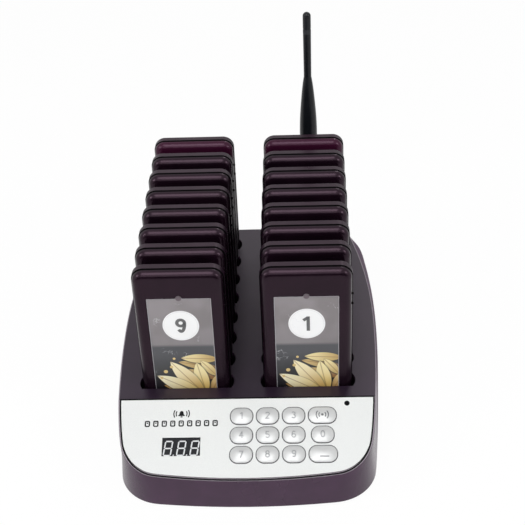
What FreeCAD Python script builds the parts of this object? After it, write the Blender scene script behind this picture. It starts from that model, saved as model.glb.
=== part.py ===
import FreeCAD, Part
import math
import os
from FreeCAD import Placement, Rotation, Vector

# A guest pager system: a charging and calling base that stands on a counter, with a keypad, a three-digit
# display and an antenna, and sixteen flat pagers that stand in two columns of slots and lift out one by one.
#
# Row frame, in mm: +X to the right and +Y to the back as the keypad is faced, +Z up. The origin is on the
# floor, at the middle of the whole object's box. Each sub-part is written to parts/NAME.step.

# ------------------------------------------------------------------------------------ driving dimensions

# Pager: two moulded covers, screen side to the front
PAGER_WIDTH = 58.0
PAGER_HEIGHT = 114.0
PAGER_CORNER_R = 8.0            # outline corner, seen from the front
PAGER_WALL = 1.6
FRONT_COVER_DEPTH = 5.6
BACK_COVER_DEPTH = 5.4
FRONT_EDGE_R = 4.6              # large soft edge round the front cover
BACK_EDGE_R = 1.2
COVER_STEP = 0.5                # the front cover stands in by this much all round
COVER_SEAM = 0.3                # visible joint between the two covers
TONGUE_LENGTH = 1.5             # back cover's lip inside the front cover
TONGUE_WALL = 0.8
CARD_WIDTH = 41.0               # recess for the printed card and its film
CARD_HEIGHT = 75.0
CARD_TOP = 19.4                 # below the pager's top
CARD_RECESS = 0.8
CARD_CORNER_R = 0.6
CARD_NOTCH_R = 2.2              # thumb notch at the recess's top edge
PAD_R = 2.2                     # charging pads in the pager's foot
PAD_THICKNESS = 0.5
PAD_SPACING = 16.0
PAGER_BOARD_THICKNESS = 1.0
BATTERY_SIZE = (40.0, 50.0, 4.2)
PAGER_FIT = 0.15                # battery and board to the pager's walls

# How the pagers stand in the base
ROWS = 8
ROW_PITCH = 22.0
AISLE = 21.6                    # between the two columns of pagers
LEAN = 3.0                      # degrees back from upright
SEAT_DEPTH = 23.2               # length of pager below the deck
SLOT_CLEARANCE = 0.7            # pager to slot, each side
SEAT_GAP = 0.2                  # pager foot to pocket floor
EAR_REACH = 1.5                 # rounded relief at each end of a slot
EAR_CHORD = 10.9

# Base, outside
DECK_HEIGHT = 46.0              # floor to deck, feet included
SHOULDER_HEIGHT = 24.5          # where the upright wall starts to lean in
SHOULDER_BLEND = 9.0            # height above and below over which the wall turns there
DECK_SIDE_MARGIN = 16.0         # slot ear to the deck's widest edge
DECK_BACK_MARGIN = 20.2         # last row to the deck's back edge
HIP_SPREAD = 3.2                # wall beyond the deck at the hips
TAIL_SPREAD = 7.0               # wall beyond the deck at the back
NOSE_SPREAD = 2.6               # wall beyond the deck-level outline at the front
NOSE_DRAFT = 0.9                # front wall's lean from floor to shoulder
PANEL_RUN = 52.8                # fold line to the front wall, level
FOLD_MARGIN = 16.2              # fold line to the first row
PANEL_TILT = 22.6
WALL = 2.5
EDGE_R = 0.9                    # softened edges of deck and rim
HIP_FROM_NOSE = 158.0           # widest places of the two outlines, from the front wall
DECK_HIP_FROM_NOSE = 130.0
NOSE_BOW_R = 515.0
TAIL_BOW_R = 620.0
FLOOR_FRONT_R = 1200.0          # side arcs, nose to hip: at the floor, the shoulder and the deck
SHOULDER_FRONT_R = 900.0
DECK_FRONT_R = 880.0
HIP_REAR_R = 640.0              # side arcs, hip to tail: below and at the deck
DECK_REAR_R = 410.0
NOSE_CORNER_R = 30.0            # at the floor
UPPER_NOSE_CORNER_R = 26.0      # at the shoulder and the deck
TAIL_CORNER_R = 12.0

# Control panel, keys and display, set out on the panel's slope from the middle of the fold line
RIM = 1.5                       # top cover's rim round the panel
PANEL_GAP = 0.35
PANEL_THICKNESS = 2.0
LEDGE_WIDTH = 3.0
LEDGE_THICKNESS = 2.0
KEY_COLUMNS = (-3.15, 13.55, 30.2, 48.6)
KEY_ROWS = (-12.75, -25.85, -38.9)
KEY_SIZE = (14.1, 11.0)
WIDE_KEY_LENGTH = 17.6
KEY_CORNER_R = 5.0
KEY_PROUD = 1.4
KEY_EDGE_R = 0.9
KEY_CLEARANCE = 0.25
KEY_FLANGE = 0.75               # lip under the panel that keeps the key in
KEY_FLANGE_THICKNESS = 1.0
KEY_FLANGE_GAP = 0.2
KEY_TRAVEL = 1.2
DOME_CLEARANCE = 0.15           # pressed key to dome
DOME_HEIGHT = 0.7
DOME_R = 3.4
DOME_TOP_R = 2.7
MAT_THICKNESS = 1.0
MAT_BORDER = 2.0
MAT_MARGIN = 3.2                # outermost key to the mat's edge
WINDOW_CENTRE = (-41.4, -32.9)
WINDOW_SIZE = (24.4, 12.4)
WINDOW_CLEARANCE = 0.1
WINDOW_SET_BACK = 0.15
DISPLAY_MARGIN = 1.2            # display module beyond its window
LED_PLACE = (64.65, -4.6)
LED_R = 1.4
LED_FLANGE = 0.45
LED_FLANGE_THICKNESS = 1.0
BOARD_THICKNESS = 1.6
BOARD_HALF_WIDTH = 70.0
BOARD_FROM_FOLD = (2.3, 49.5)   # upper and lower edge
BOARD_CORNER_R = 16.0
BOARD_PARTS = (                 # middle, length, width and height of each part under the main board
    ((5, -22), 12, 12, 1.6),    # controller
    ((42, -16), 24, 14, 3.0),   # radio module
    ((-40, -30), 10, 6, 1.5),   # display drivers
    ((-22, -30), 10, 6, 1.5),
    ((30, -38), 20, 6, 6.0))    # header of the cable to the charging board
SOUNDER_PLACE = (-50, -14)
SOUNDER_R = 6.0
SOUNDER_HEIGHT = 5.0
POST_COLUMN = 66.0              # panel posts that carry the main board
POST_ROWS = (-14.0, -38.0)
PANEL_POST_R = 3.0

# Screws, one size throughout
SCREW_R = 1.15
SCREW_HEAD_R = 2.5
SCREW_HEAD_HEIGHT = 1.4
SCREW_LENGTH = 4.5              # shank beyond the screwed piece
SCREW_PLAY = 0.05               # shank to its pilot hole, each side
SCREW_HOLE_R = 1.5

# Base, inside and underneath
FOOT_HEIGHT = 1.5
FOOT_R = 7.0
FOOT_INSET = 24.0               # foot centre in from the outline's corners
BOTTOM_THICKNESS = 2.4
BOTTOM_GAP = 0.3
LIP_HEIGHT = 3.0
LIP_THICKNESS = 1.5
COVER_POST_R = 3.5
BACK_POST_X = 29.85
COVER_POST_GAP = 1.3            # post to the cradle's edge
HEAD_RECESS = 0.4               # screw heads up inside the bottom cover
CRADLE_PLATE = 1.6
CRADLE_WALL = 1.4
CRADLE_MARGIN = 1.5
CRADLE_CORNER_R = 5.0
CONTACT_HOLE_R = 2.0
CONTACT_R = 0.9
CONTACT_GAP = 0.1
CONTACT_BODY_R = 1.6
CONTACT_BODY_HEIGHT = 1.2
CHARGING_BOARD_DROP = 0.6       # cradle floors to the charging board
CHARGING_CHIP = (9.0, 7.0, 1.6)
PILLAR_R = 3.0
PILLAR_X = 63.7

# Antenna and power inlet on the back wall
ANTENNA_X = 43.8
ANTENNA_HEIGHT = 219.0          # floor to tip
ANTENNA_STANDOFF = 11.6         # whip axis behind the wall
CONNECTOR_HEIGHT = 16.0
THREAD_R = 3.15
THREAD_FIT = 0.05
WALL_NUT_R = 4.6
WALL_NUT_THICKNESS = 2.2
NUT_GAP = 0.45                  # flat nut to the bowed wall
KNUCKLE_R = 4.8
KNUCKLE_GAP = 0.3
FORK_SLOT = 5.1
HINGE_PIN_R = 1.2
HINGE_FIT = 0.05
TANG_THICKNESS = 4.7
WHIP_FOOT_R = 5.2
WHIP_FOOT_LENGTH = 14.0
WHIP_BODY_R = 6.5
WHIP_TAPER_TOP = 97.0           # below the tip: end of the thick body
WHIP_NECK_TOP = 50.0            # below the tip: start of the slim end
WHIP_TIP_R = 2.88
WHIP_NECK_R = 2.75
WHIP_TAPER = ((14.0, 6.08), (29.0, 4.94), (42.0, 3.54))    # above the thick body, radius
WHIP_GROOVE = (12.7, 1.2, 0.3)  # below the tip, width, depth
INLET_X = -40.0
INLET_SIZE = (9.0, 13.0, 11.0)
INLET_BORE_R = 3.1
INLET_BORE_DEPTH = 9.0
INLET_PIN_R = 1.0
INLET_PIN_SETBACK = 0.9         # pin's end inside the bore
INLET_CLEARANCE = 0.2

# ------------------------------------------------------------------------------------ derived places

PAGER_THICKNESS = FRONT_COVER_DEPTH + BACK_COVER_DEPTH
COLUMN_X = (PAGER_WIDTH + AISLE) / 2
SLOT_HALF_LENGTH = PAGER_WIDTH / 2 + SLOT_CLEARANCE
SLOT_HALF_DEPTH = PAGER_THICKNESS / 2 + SLOT_CLEARANCE
EAR_TIP = SLOT_HALF_LENGTH + EAR_REACH
ROWS_DEPTH = (ROWS - 1) * ROW_PITCH
DECK_HALF_WIDTH = COLUMN_X + EAR_TIP + DECK_SIDE_MARGIN
BASE_DEPTH = PANEL_RUN + FOLD_MARGIN + ROWS_DEPTH + DECK_BACK_MARGIN + TAIL_SPREAD
WHIP_TO_WALL = ANTENNA_STANDOFF + WHIP_BODY_R
NOSE_Y = -(BASE_DEPTH - ANTENNA_X ** 2 / (2 * TAIL_BOW_R) + WHIP_TO_WALL) / 2
FOLD_Y = NOSE_Y + PANEL_RUN
FIRST_ROW_Y = FOLD_Y + FOLD_MARGIN
TAIL_Y = NOSE_Y + BASE_DEPTH
BOTTOM_TOP = FOOT_HEIGHT + BOTTOM_THICKNESS
DECK_UNDERSIDE = DECK_HEIGHT - WALL
REACH = 2 * BASE_DEPTH          # longer than anything, for cutting tools
NEAR = 0.01                     # how close an edge lies to the place that picks it
COLUMNS = (COLUMN_X, -COLUMN_X)

# Depths below the panel's face, downwards positive
FLANGE_TOP = PANEL_THICKNESS + KEY_FLANGE_GAP
KEY_UNDERSIDE = FLANGE_TOP + KEY_FLANGE_THICKNESS
DOME_TOP = KEY_UNDERSIDE + KEY_TRAVEL + DOME_CLEARANCE
MAT_TOP = DOME_TOP + DOME_HEIGHT
MAT_UNDERSIDE = MAT_TOP + MAT_THICKNESS
BOARD_UNDERSIDE = MAT_UNDERSIDE + BOARD_THICKNESS


# ------------------------------------------------------------------------------------ shapes used throughout

def box(x, y, z):
    """Box between three pairs of limits."""
    return Part.makeBox(x[1] - x[0], y[1] - y[0], z[1] - z[0], Vector(x[0], y[0], z[0]))


def layer(low, high):
    """Everything between two heights."""
    return box((-REACH, REACH), (-REACH, REACH), (low, high))


def rod(radius, start, end):
    """Cylinder from one point to another."""
    way = end - start
    return Part.makeCylinder(radius, way.Length, start, way)


def edges_along(shape, direction):
    """Straight edges parallel to a direction."""
    found = []
    for edge in shape.Edges:
        if isinstance(edge.Curve, Part.Line) and edge.Curve.Direction.cross(direction).Length < 1e-6:
            found.append(edge)
    return found


def edges_between(shape, axis, low, high):
    """Edges that lie wholly between two limits along an axis."""
    return [e for e in shape.Edges
            if getattr(e.BoundBox, axis + "Min") > low and getattr(e.BoundBox, axis + "Max") < high]


def rounded_box(x, y, z, radius, along):
    """Box with its four edges along a direction rounded."""
    block = box(x, y, z)
    return block.makeFillet(radius, edges_along(block, along))


def centred(middle, length):
    return (middle - length / 2, middle + length / 2)


def group(shapes):
    """Separate solids in one sub-part."""
    return Part.makeCompound(shapes)


def moved(shape, placement):
    copy = shape.copy()
    copy.Placement = placement.multiply(copy.Placement)
    return copy


# ------------------------------------------------------------------------------------ plan of the base

class Plan:
    """Outline of the base at one height: bowed nose and tail, two arcs a side that meet at the hip, and
    rounded corners, each as a centre and a radius. An arc keeps its centre when the outline is set in, so
    that the copy is parallel."""

    def __init__(self, half_width, hip_y, nose_y, tail_y, side_radii, corner_radii):
        front_r, rear_r = side_radii
        self.nose = (Vector(0, nose_y + NOSE_BOW_R, 0), NOSE_BOW_R)
        self.front = (Vector(half_width - front_r, hip_y, 0), front_r)
        self.rear = (Vector(half_width - rear_r, hip_y, 0), rear_r)
        self.tail = (Vector(0, tail_y - TAIL_BOW_R, 0), TAIL_BOW_R)
        self.hip = Vector(half_width, hip_y, 0)
        self.nose_corner = self.corner(self.nose, self.front, corner_radii[0], -1)
        self.tail_corner = self.corner(self.tail, self.rear, corner_radii[1], 1)

    @staticmethod
    def corner(first, second, radius, side):
        """Circle of a radius that touches two arcs from inside, on the right and to the front or back."""
        a, ra = first[0], first[1] - radius
        b, rb = second[0], second[1] - radius
        span = (b - a).Length
        along = (ra ** 2 - rb ** 2 + span ** 2) / (2 * span)
        height = math.sqrt(ra ** 2 - along ** 2)
        way = (b - a).normalize()
        across = Vector(-way.y, way.x, 0)
        options = [a + way * along + across * height, a + way * along - across * height]
        centre = max((c for c in options if c.x > 0), key=lambda c: side * c.y)
        return centre, radius

    def half(self, inset, z):
        """Points along the right half of the outline, nose to tail, set in by a distance, at a height."""
        def touch(big, small):
            return big[0] + (small[0] - big[0]).normalize() * (big[1] - inset)

        places = [self.nose[0] - Vector(0, self.nose[1] - inset, 0),
                  touch(self.nose, self.nose_corner), touch(self.front, self.nose_corner),
                  self.hip - Vector(inset, 0, 0),
                  touch(self.rear, self.tail_corner), touch(self.tail, self.tail_corner),
                  self.tail[0] + Vector(0, self.tail[1] - inset, 0)]
        circles = (self.nose, self.nose_corner, self.front, self.rear, self.tail_corner, self.tail)
        points = places[:1]
        for start, end, (centre, radius), steps in zip(places, places[1:], circles, OUTLINE_STEPS):
            first, last = (math.atan2(p.y - centre.y, p.x - centre.x) for p in (start, end))
            for step in range(1, steps + 1):
                angle = first + (last - first) * step / steps
                points.append(centre + Vector(math.cos(angle), math.sin(angle), 0) * (radius - inset))
        return [point + Vector(0, 0, z) for point in points]


# Half width, hip, nose, tail, side curvatures front and rear, corner radii front and rear
FLOOR_OUTLINE = (DECK_HALF_WIDTH + HIP_SPREAD, NOSE_Y + HIP_FROM_NOSE, NOSE_Y, TAIL_Y,
                 1 / FLOOR_FRONT_R, 1 / HIP_REAR_R, NOSE_CORNER_R, TAIL_CORNER_R)
SHOULDER_OUTLINE = (DECK_HALF_WIDTH + HIP_SPREAD, NOSE_Y + HIP_FROM_NOSE, NOSE_Y + NOSE_DRAFT, TAIL_Y,
                    1 / SHOULDER_FRONT_R, 1 / HIP_REAR_R, UPPER_NOSE_CORNER_R, TAIL_CORNER_R)
DECK_OUTLINE = (DECK_HALF_WIDTH, NOSE_Y + DECK_HIP_FROM_NOSE, NOSE_Y + NOSE_SPREAD, TAIL_Y - TAIL_SPREAD,
                1 / DECK_FRONT_R, 1 / DECK_REAR_R, UPPER_NOSE_CORNER_R, TAIL_CORNER_R)


def plan_at(z):
    """Outline at a height: straight from floor to shoulder and from shoulder to deck, with a soft turn."""
    above = z - SHOULDER_HEIGHT
    turn = max(SHOULDER_BLEND - abs(above), 0) ** 2 / (4 * SHOULDER_BLEND)
    values = []
    for floor, shoulder, deck in zip(FLOOR_OUTLINE, SHOULDER_OUTLINE, DECK_OUTLINE):
        lower = (shoulder - floor) / SHOULDER_HEIGHT
        upper = (deck - shoulder) / (DECK_HEIGHT - SHOULDER_HEIGHT)
        values.append(shoulder + (upper if above > 0 else lower) * above + (upper - lower) * turn)
    half_width, hip, nose, tail, front, rear, nose_corner, tail_corner = values
    return Plan(half_width, hip, nose, tail, (1 / front, 1 / rear), (nose_corner, tail_corner))


FORM_HEIGHTS = (0, (SHOULDER_HEIGHT - SHOULDER_BLEND) / 2, SHOULDER_HEIGHT - SHOULDER_BLEND, SHOULDER_HEIGHT,
                SHOULDER_HEIGHT + SHOULDER_BLEND, DECK_HEIGHT)
OUTLINE_STEPS = (8, 10, 8, 8, 6, 8)     # points along the nose, corner, front, rear, corner and tail arcs


def slope(shape):
    """Takes a shape from the panel's slope (X right, Y up the slope, Z out of the panel) into the row."""
    return moved(shape, Placement(Vector(0, FOLD_Y, DECK_HEIGHT), Rotation(Vector(1, 0, 0), PANEL_TILT)))


def base_form(inset, deck_drop, panel_drop, floor):
    """The base's outer form above a height, set in from its sides, deck and panel."""
    rows = [plan_at(z).half(inset, z) for z in FORM_HEIGHTS]
    faces = []
    for side in (1, -1):
        wall = Part.BSplineSurface()
        wall.interpolate([[Vector(side * point.x, point.y, point.z) for point in row] for row in rows])
        faces.append(wall.toShape())
    for z in (FORM_HEIGHTS[0], FORM_HEIGHTS[-1]):
        rim = [edge for wall in faces[:2] for edge in edges_between(wall, "Z", z - NEAR, z + NEAR)]
        faces.append(Part.Face(Part.Wire(Part.sortEdges(rim)[0])))
    shell = Part.Shell(faces)
    shell.sewShape()
    form = Part.Solid(shell).common(layer(floor, DECK_HEIGHT - deck_drop))
    return form.cut(slope(box((-REACH, REACH), (-REACH, WALL * 16), (-panel_drop, REACH))))


# ------------------------------------------------------------------------------------ slots

def lean_frame(column, row):
    """Placement of a pager's own frame: origin at the slot's centre in the deck, Z up along the pager."""
    origin = Vector(column, FIRST_ROW_Y + row * ROW_PITCH, DECK_HEIGHT)
    return Placement(origin, Rotation(Vector(1, 0, 0), -LEAN))


def slot_prism(grow, low, high):
    """Slot outline with its rounded ears, grown all round, between two heights in the pager's frame."""
    half_length, half_depth = SLOT_HALF_LENGTH + grow, SLOT_HALF_DEPTH + grow
    ear_r = ((EAR_CHORD / 2) ** 2 + EAR_REACH ** 2) / (2 * EAR_REACH) + grow
    prism = box((-half_length, half_length), (-half_depth, half_depth), (low, high))
    for side in (-1, 1):
        centre = side * (EAR_TIP + grow - ear_r)
        ear = rod(ear_r, Vector(centre, 0, low), Vector(centre, 0, high))
        beyond = sorted((side * (half_length - ear_r / 4), side * REACH))
        prism = prism.fuse(ear.common(box(beyond, (-half_depth, half_depth), (low, high))))
    return prism.removeSplitter()


POCKET_FLOOR = -SEAT_DEPTH - SEAT_GAP
POCKET_BOTTOM = POCKET_FLOOR - CRADLE_PLATE
PLACES = [(column, row) for column in COLUMNS for row in range(ROWS)]
SLOT_TOOL = slot_prism(0, POCKET_FLOOR, WALL * 4)


def cut_slots(shape):
    return shape.cut([moved(SLOT_TOOL, lean_frame(*place)) for place in PLACES])


# ------------------------------------------------------------------------------------ base: outer pieces

RIGHT_EDGE = COLUMN_X + EAR_TIP + CRADLE_WALL      # outside of the cradle's pockets
CRADLE_HALF_WIDTH = RIGHT_EDGE + CRADLE_MARGIN - CRADLE_WALL
LAST_ROW_Y = FIRST_ROW_Y + ROWS_DEPTH
CRADLE_Y = (FIRST_ROW_Y - SLOT_HALF_DEPTH - CRADLE_WALL - CRADLE_MARGIN,
            LAST_ROW_Y + SLOT_HALF_DEPTH + CRADLE_WALL + CRADLE_MARGIN)
POST_X = CRADLE_HALF_WIDTH + COVER_POST_R + COVER_POST_GAP
POST_BACK_Y = CRADLE_Y[1] + COVER_POST_R + COVER_POST_GAP / 2
COVER_POSTS = [(side * x, y) for side in (-1, 1)
               for x, y in ((POST_X, FIRST_ROW_Y - ROW_PITCH / 4), (POST_X, FIRST_ROW_Y + ROWS_DEPTH / 2),
                            (BACK_POST_X, POST_BACK_Y))]


def wall_y(x):
    """Outer face of the back wall at a distance from the middle."""
    return TAIL_Y - TAIL_BOW_R + math.sqrt(TAIL_BOW_R ** 2 - x ** 2)


def inlet_box(clearance):
    """Space of the power inlet, from inside the base to the back wall's outer face."""
    width, depth, height = INLET_SIZE
    face = wall_y(INLET_X)
    return box(centred(INLET_X, width + 2 * clearance), (face - depth - clearance, face + clearance),
               (BOTTOM_TOP - clearance, BOTTOM_TOP + height + clearance))


def make_top_cover():
    outer = base_form(0, 0, 0, FOOT_HEIGHT)
    outer = outer.makeFillet(EDGE_R, [edge for edge in outer.Edges if on_top(edge)])
    cover = outer.cut(base_form(WALL, WALL, PANEL_THICKNESS + LEDGE_THICKNESS, 0))
    recess = base_form(RIM, 0, 0, 0).common(
        slope(box((-REACH, REACH), (-REACH, 0), (-PANEL_THICKNESS, WALL))))
    opening = base_form(RIM + LEDGE_WIDTH, 0, 0, 0).common(
        slope(box((-REACH, REACH), (-REACH, -LEDGE_WIDTH + BOARD_FROM_FOLD[0] / 2), (-DECK_HEIGHT / 2, 0))))
    posts = [rod(COVER_POST_R, Vector(x, y, BOTTOM_TOP), Vector(x, y, DECK_UNDERSIDE + WALL / 2))
             for x, y in COVER_POSTS]
    pilots = [rod(SCREW_R + SCREW_PLAY, Vector(x, y, 0), Vector(x, y, BOTTOM_TOP + SCREW_LENGTH + WALL))
              for x, y in COVER_POSTS]
    cover = cover.cut([recess, opening]).fuse(posts).cut(pilots)
    socket = rod(THREAD_R + KNUCKLE_GAP, Vector(ANTENNA_X, TAIL_Y - WALL * 4, CONNECTOR_HEIGHT),
                 Vector(ANTENNA_X, TAIL_Y + WALL, CONNECTOR_HEIGHT))
    return cut_slots(cover.cut([socket, inlet_box(INLET_CLEARANCE)])).removeSplitter()


def on_top(edge):
    """Whether an edge's ends lie in the deck or in the panel's slope, so that it bounds one of them."""
    for vertex in (edge.valueAt(edge.FirstParameter), edge.valueAt(edge.LastParameter)):
        from_fold = FOLD_Y - vertex.y
        surface = DECK_HEIGHT - max(from_fold, 0) * math.tan(math.radians(PANEL_TILT))
        if abs(vertex.z - surface) > NEAR:
            return False
    return True


def make_bottom_cover():
    inset = WALL + BOTTOM_GAP
    tray = base_form(inset, 0, 0, FOOT_HEIGHT).cut(base_form(inset + LIP_THICKNESS, 0, 0, BOTTOM_TOP))
    tray = tray.common(layer(0, BOTTOM_TOP + LIP_HEIGHT))
    pillars = [rod(PILLAR_R, Vector(x, y, BOTTOM_TOP), Vector(x, y, CHARGING_BOARD_Z[0])) for x, y in PILLARS]
    cover = tray.fuse(pillars).cut(inlet_box(INLET_CLEARANCE).common(layer(BOTTOM_TOP, REACH)))
    holes = []
    for x, y in COVER_POSTS:
        holes.append(rod(SCREW_HOLE_R, Vector(x, y, 0), Vector(x, y, BOTTOM_TOP)))
        holes.append(rod(SCREW_HEAD_R + SCREW_PLAY * 4, Vector(x, y, 0),
                         Vector(x, y, FOOT_HEIGHT + HEAD_RECESS + SCREW_HEAD_HEIGHT)))
        holes.append(rod(COVER_POST_R + BOTTOM_GAP, Vector(x, y, BOTTOM_TOP), Vector(x, y, DECK_HEIGHT)))
    return cover.cut(holes).removeSplitter()


def make_feet():
    pads = []
    for x in (-1, 1):
        for y in (NOSE_Y + FOOT_INSET, TAIL_Y - FOOT_INSET):
            centre = Vector(x * (DECK_HALF_WIDTH - FOOT_INSET), y, 0)
            pad = rod(FOOT_R, centre, centre + Vector(0, 0, FOOT_HEIGHT))
            pads.append(pad.makeChamfer(FOOT_HEIGHT / 4, [edge_at_height(pad, 0)]))
    return group(pads)


def edge_at_height(shape, z):
    return edges_between(shape, "Z", z - NEAR, z + NEAR)[0]


# ------------------------------------------------------------------------------------ panel, keys, display

def key_layout():
    """Key names with their centre on the slope and their length."""
    names = (("1", "2", "3", "call"), ("4", "5", "6", "0"), ("7", "8", "9", "clear"))
    for v, line in zip(KEY_ROWS, names):
        for u, name in zip(KEY_COLUMNS, line):
            yield name, (u, v), WIDE_KEY_LENGTH if name in ("call", "clear") else KEY_SIZE[0]


def key_prism(centre, length, grow, low, high):
    across, up = centred(centre[0], length + 2 * grow), centred(centre[1], KEY_SIZE[1] + 2 * grow)
    return rounded_box(across, up, (low, high), KEY_CORNER_R + grow, Vector(0, 0, 1))


def make_key(centre, length):
    cap = key_prism(centre, length, 0, -FLANGE_TOP, KEY_PROUD)
    cap = cap.makeFillet(KEY_EDGE_R, edges_between(cap, "Z", KEY_PROUD - NEAR, KEY_PROUD + NEAR))
    flange = key_prism(centre, length, KEY_FLANGE, -KEY_UNDERSIDE, -FLANGE_TOP)
    return slope(cap.fuse(flange).removeSplitter())


def make_control_panel():
    slab = slope(box((-REACH, REACH), (-REACH, -PANEL_GAP), (-PANEL_THICKNESS, 0)))
    panel = base_form(RIM + PANEL_GAP, 0, 0, 0).common(slab)
    posts, holes = [], []
    for u in (-POST_COLUMN, POST_COLUMN):
        for v in POST_ROWS:
            posts.append(rod(PANEL_POST_R, Vector(u, v, -MAT_UNDERSIDE), Vector(u, v, -PANEL_THICKNESS)))
            holes.append(rod(SCREW_R + SCREW_PLAY, Vector(u, v, -BOARD_UNDERSIDE),
                             Vector(u, v, -MAT_UNDERSIDE + SCREW_LENGTH + SCREW_PLAY)))
    for name, centre, length in key_layout():
        holes.append(key_prism(centre, length, KEY_CLEARANCE, -REACH, REACH))
    holes.append(box(*(centred(m, s) for m, s in zip(WINDOW_CENTRE, WINDOW_SIZE)), (-REACH, REACH)))
    holes.append(rod(LED_R + WINDOW_CLEARANCE, Vector(*LED_PLACE, -REACH), Vector(*LED_PLACE, REACH)))
    return panel.fuse([slope(p) for p in posts]).cut([slope(h) for h in holes]).removeSplitter()


def make_keypad_mat():
    """Rubber sheet with a dome under each key and a border up to the panel."""
    reach = WIDE_KEY_LENGTH / 2 + MAT_MARGIN
    u = (KEY_COLUMNS[0] - KEY_SIZE[0] / 2 - MAT_MARGIN, KEY_COLUMNS[-1] + reach)
    v = (KEY_ROWS[-1] - KEY_SIZE[1] / 2 - MAT_MARGIN, KEY_ROWS[0] + KEY_SIZE[1] / 2 + MAT_MARGIN)
    mat = rounded_box(u, v, (-MAT_UNDERSIDE, -PANEL_THICKNESS), MAT_MARGIN, Vector(0, 0, 1))
    inner = rounded_box((u[0] + MAT_BORDER, u[1] - MAT_BORDER), (v[0] + MAT_BORDER, v[1] - MAT_BORDER),
                        (-MAT_TOP, 0), MAT_MARGIN - MAT_BORDER, Vector(0, 0, 1))
    domes = [Part.makeCone(DOME_R, DOME_TOP_R, DOME_HEIGHT, Vector(*centre, -MAT_TOP))
             for name, centre, length in key_layout()]
    return slope(mat.cut(inner).fuse(domes))


def make_display_window():
    u, v = (centred(m, s - 2 * WINDOW_CLEARANCE) for m, s in zip(WINDOW_CENTRE, WINDOW_SIZE))
    return slope(box(u, v, (-PANEL_THICKNESS, -WINDOW_SET_BACK)))


def make_display_module():
    u, v = (centred(m, s + 2 * DISPLAY_MARGIN) for m, s in zip(WINDOW_CENTRE, WINDOW_SIZE))
    return slope(box(u, v, (-MAT_UNDERSIDE, -PANEL_THICKNESS)))


def make_status_led():
    place = Vector(*LED_PLACE, 0)
    lens = rod(LED_R, place - Vector(0, 0, MAT_UNDERSIDE), place)
    flange = rod(LED_R + LED_FLANGE, place - Vector(0, 0, PANEL_THICKNESS + LED_FLANGE_THICKNESS),
                 place - Vector(0, 0, PANEL_THICKNESS))
    return slope(lens.fuse(flange).removeSplitter())


def make_main_board():
    """Board with its controller, radio module, driver chips, sounder and cable header underneath."""
    v = (-BOARD_FROM_FOLD[1], -BOARD_FROM_FOLD[0])
    board = box((-BOARD_HALF_WIDTH, BOARD_HALF_WIDTH), v, (-BOARD_UNDERSIDE, -MAT_UNDERSIDE))
    upright = edges_along(board, Vector(0, 0, 1))
    lower = [e for e in upright if e.Vertexes[0].Y < sum(v) / 2]
    board = board.makeFillet(BOARD_CORNER_R, lower)
    for u in (-POST_COLUMN, POST_COLUMN):
        for row in POST_ROWS:
            board = board.cut(rod(SCREW_HOLE_R, Vector(u, row, -REACH), Vector(u, row, REACH)))
    below = -BOARD_UNDERSIDE
    chips = [box(centred(at[0], length), centred(at[1], width), (below - height, below))
             for at, length, width, height in BOARD_PARTS]
    sounder = rod(SOUNDER_R, Vector(*SOUNDER_PLACE, below - SOUNDER_HEIGHT), Vector(*SOUNDER_PLACE, below))
    return slope(group([board, sounder] + chips))


# ------------------------------------------------------------------------------------ charging side

CHARGING_BOARD_TOP = DECK_HEIGHT + POCKET_BOTTOM * math.cos(math.radians(LEAN)) \
    - (SLOT_HALF_DEPTH + CRADLE_WALL) * math.sin(math.radians(LEAN)) - CHARGING_BOARD_DROP
CHARGING_BOARD_Z = (CHARGING_BOARD_TOP - BOARD_THICKNESS, CHARGING_BOARD_TOP)
AISLE_POSTS = [(0.0, FIRST_ROW_Y + ROW_PITCH * row) for row in (0.5, (ROWS - 1) / 2, ROWS - 1.5)]
PILLARS = [(x, FIRST_ROW_Y + ROW_PITCH * row) for x in (-PILLAR_X, PILLAR_X) for row in (0.5, ROWS - 1.5)]


def make_slot_cradle():
    """Plate under the deck with a pocket for each pager and three posts down to the charging board."""
    plate = rounded_box((-CRADLE_HALF_WIDTH, CRADLE_HALF_WIDTH), CRADLE_Y,
                        (DECK_UNDERSIDE - CRADLE_PLATE, DECK_UNDERSIDE), CRADLE_CORNER_R, Vector(0, 0, 1))
    tube = slot_prism(CRADLE_WALL, POCKET_BOTTOM, WALL)
    pockets = [moved(tube, lean_frame(*place)).common(layer(0, DECK_UNDERSIDE)) for place in PLACES]
    posts = [rod(PILLAR_R, Vector(x, y, CHARGING_BOARD_TOP), Vector(x, y, DECK_UNDERSIDE))
             for x, y in AISLE_POSTS]
    pilots = [rod(SCREW_R + SCREW_PLAY, Vector(x, y, 0), Vector(x, y, CHARGING_BOARD_TOP + SCREW_LENGTH))
              for x, y in AISLE_POSTS]
    holes = [rod(CONTACT_HOLE_R, Vector(at.x, at.y, 0), at) for at in contact_points()]
    return cut_slots(plate.fuse(pockets + posts)).cut(pilots + holes)


def contact_points():
    """Middle of the underside of every charging pad, two a pager."""
    for place in PLACES:
        frame = lean_frame(*place)
        for side in (-1, 1):
            yield frame.multVec(Vector(side * PAD_SPACING / 2, pad_y(), -SEAT_DEPTH))


def pad_y():
    """Charging pads lie in the middle of the back cover's foot."""
    return PAGER_THICKNESS / 2 - BACK_COVER_DEPTH / 2


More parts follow.
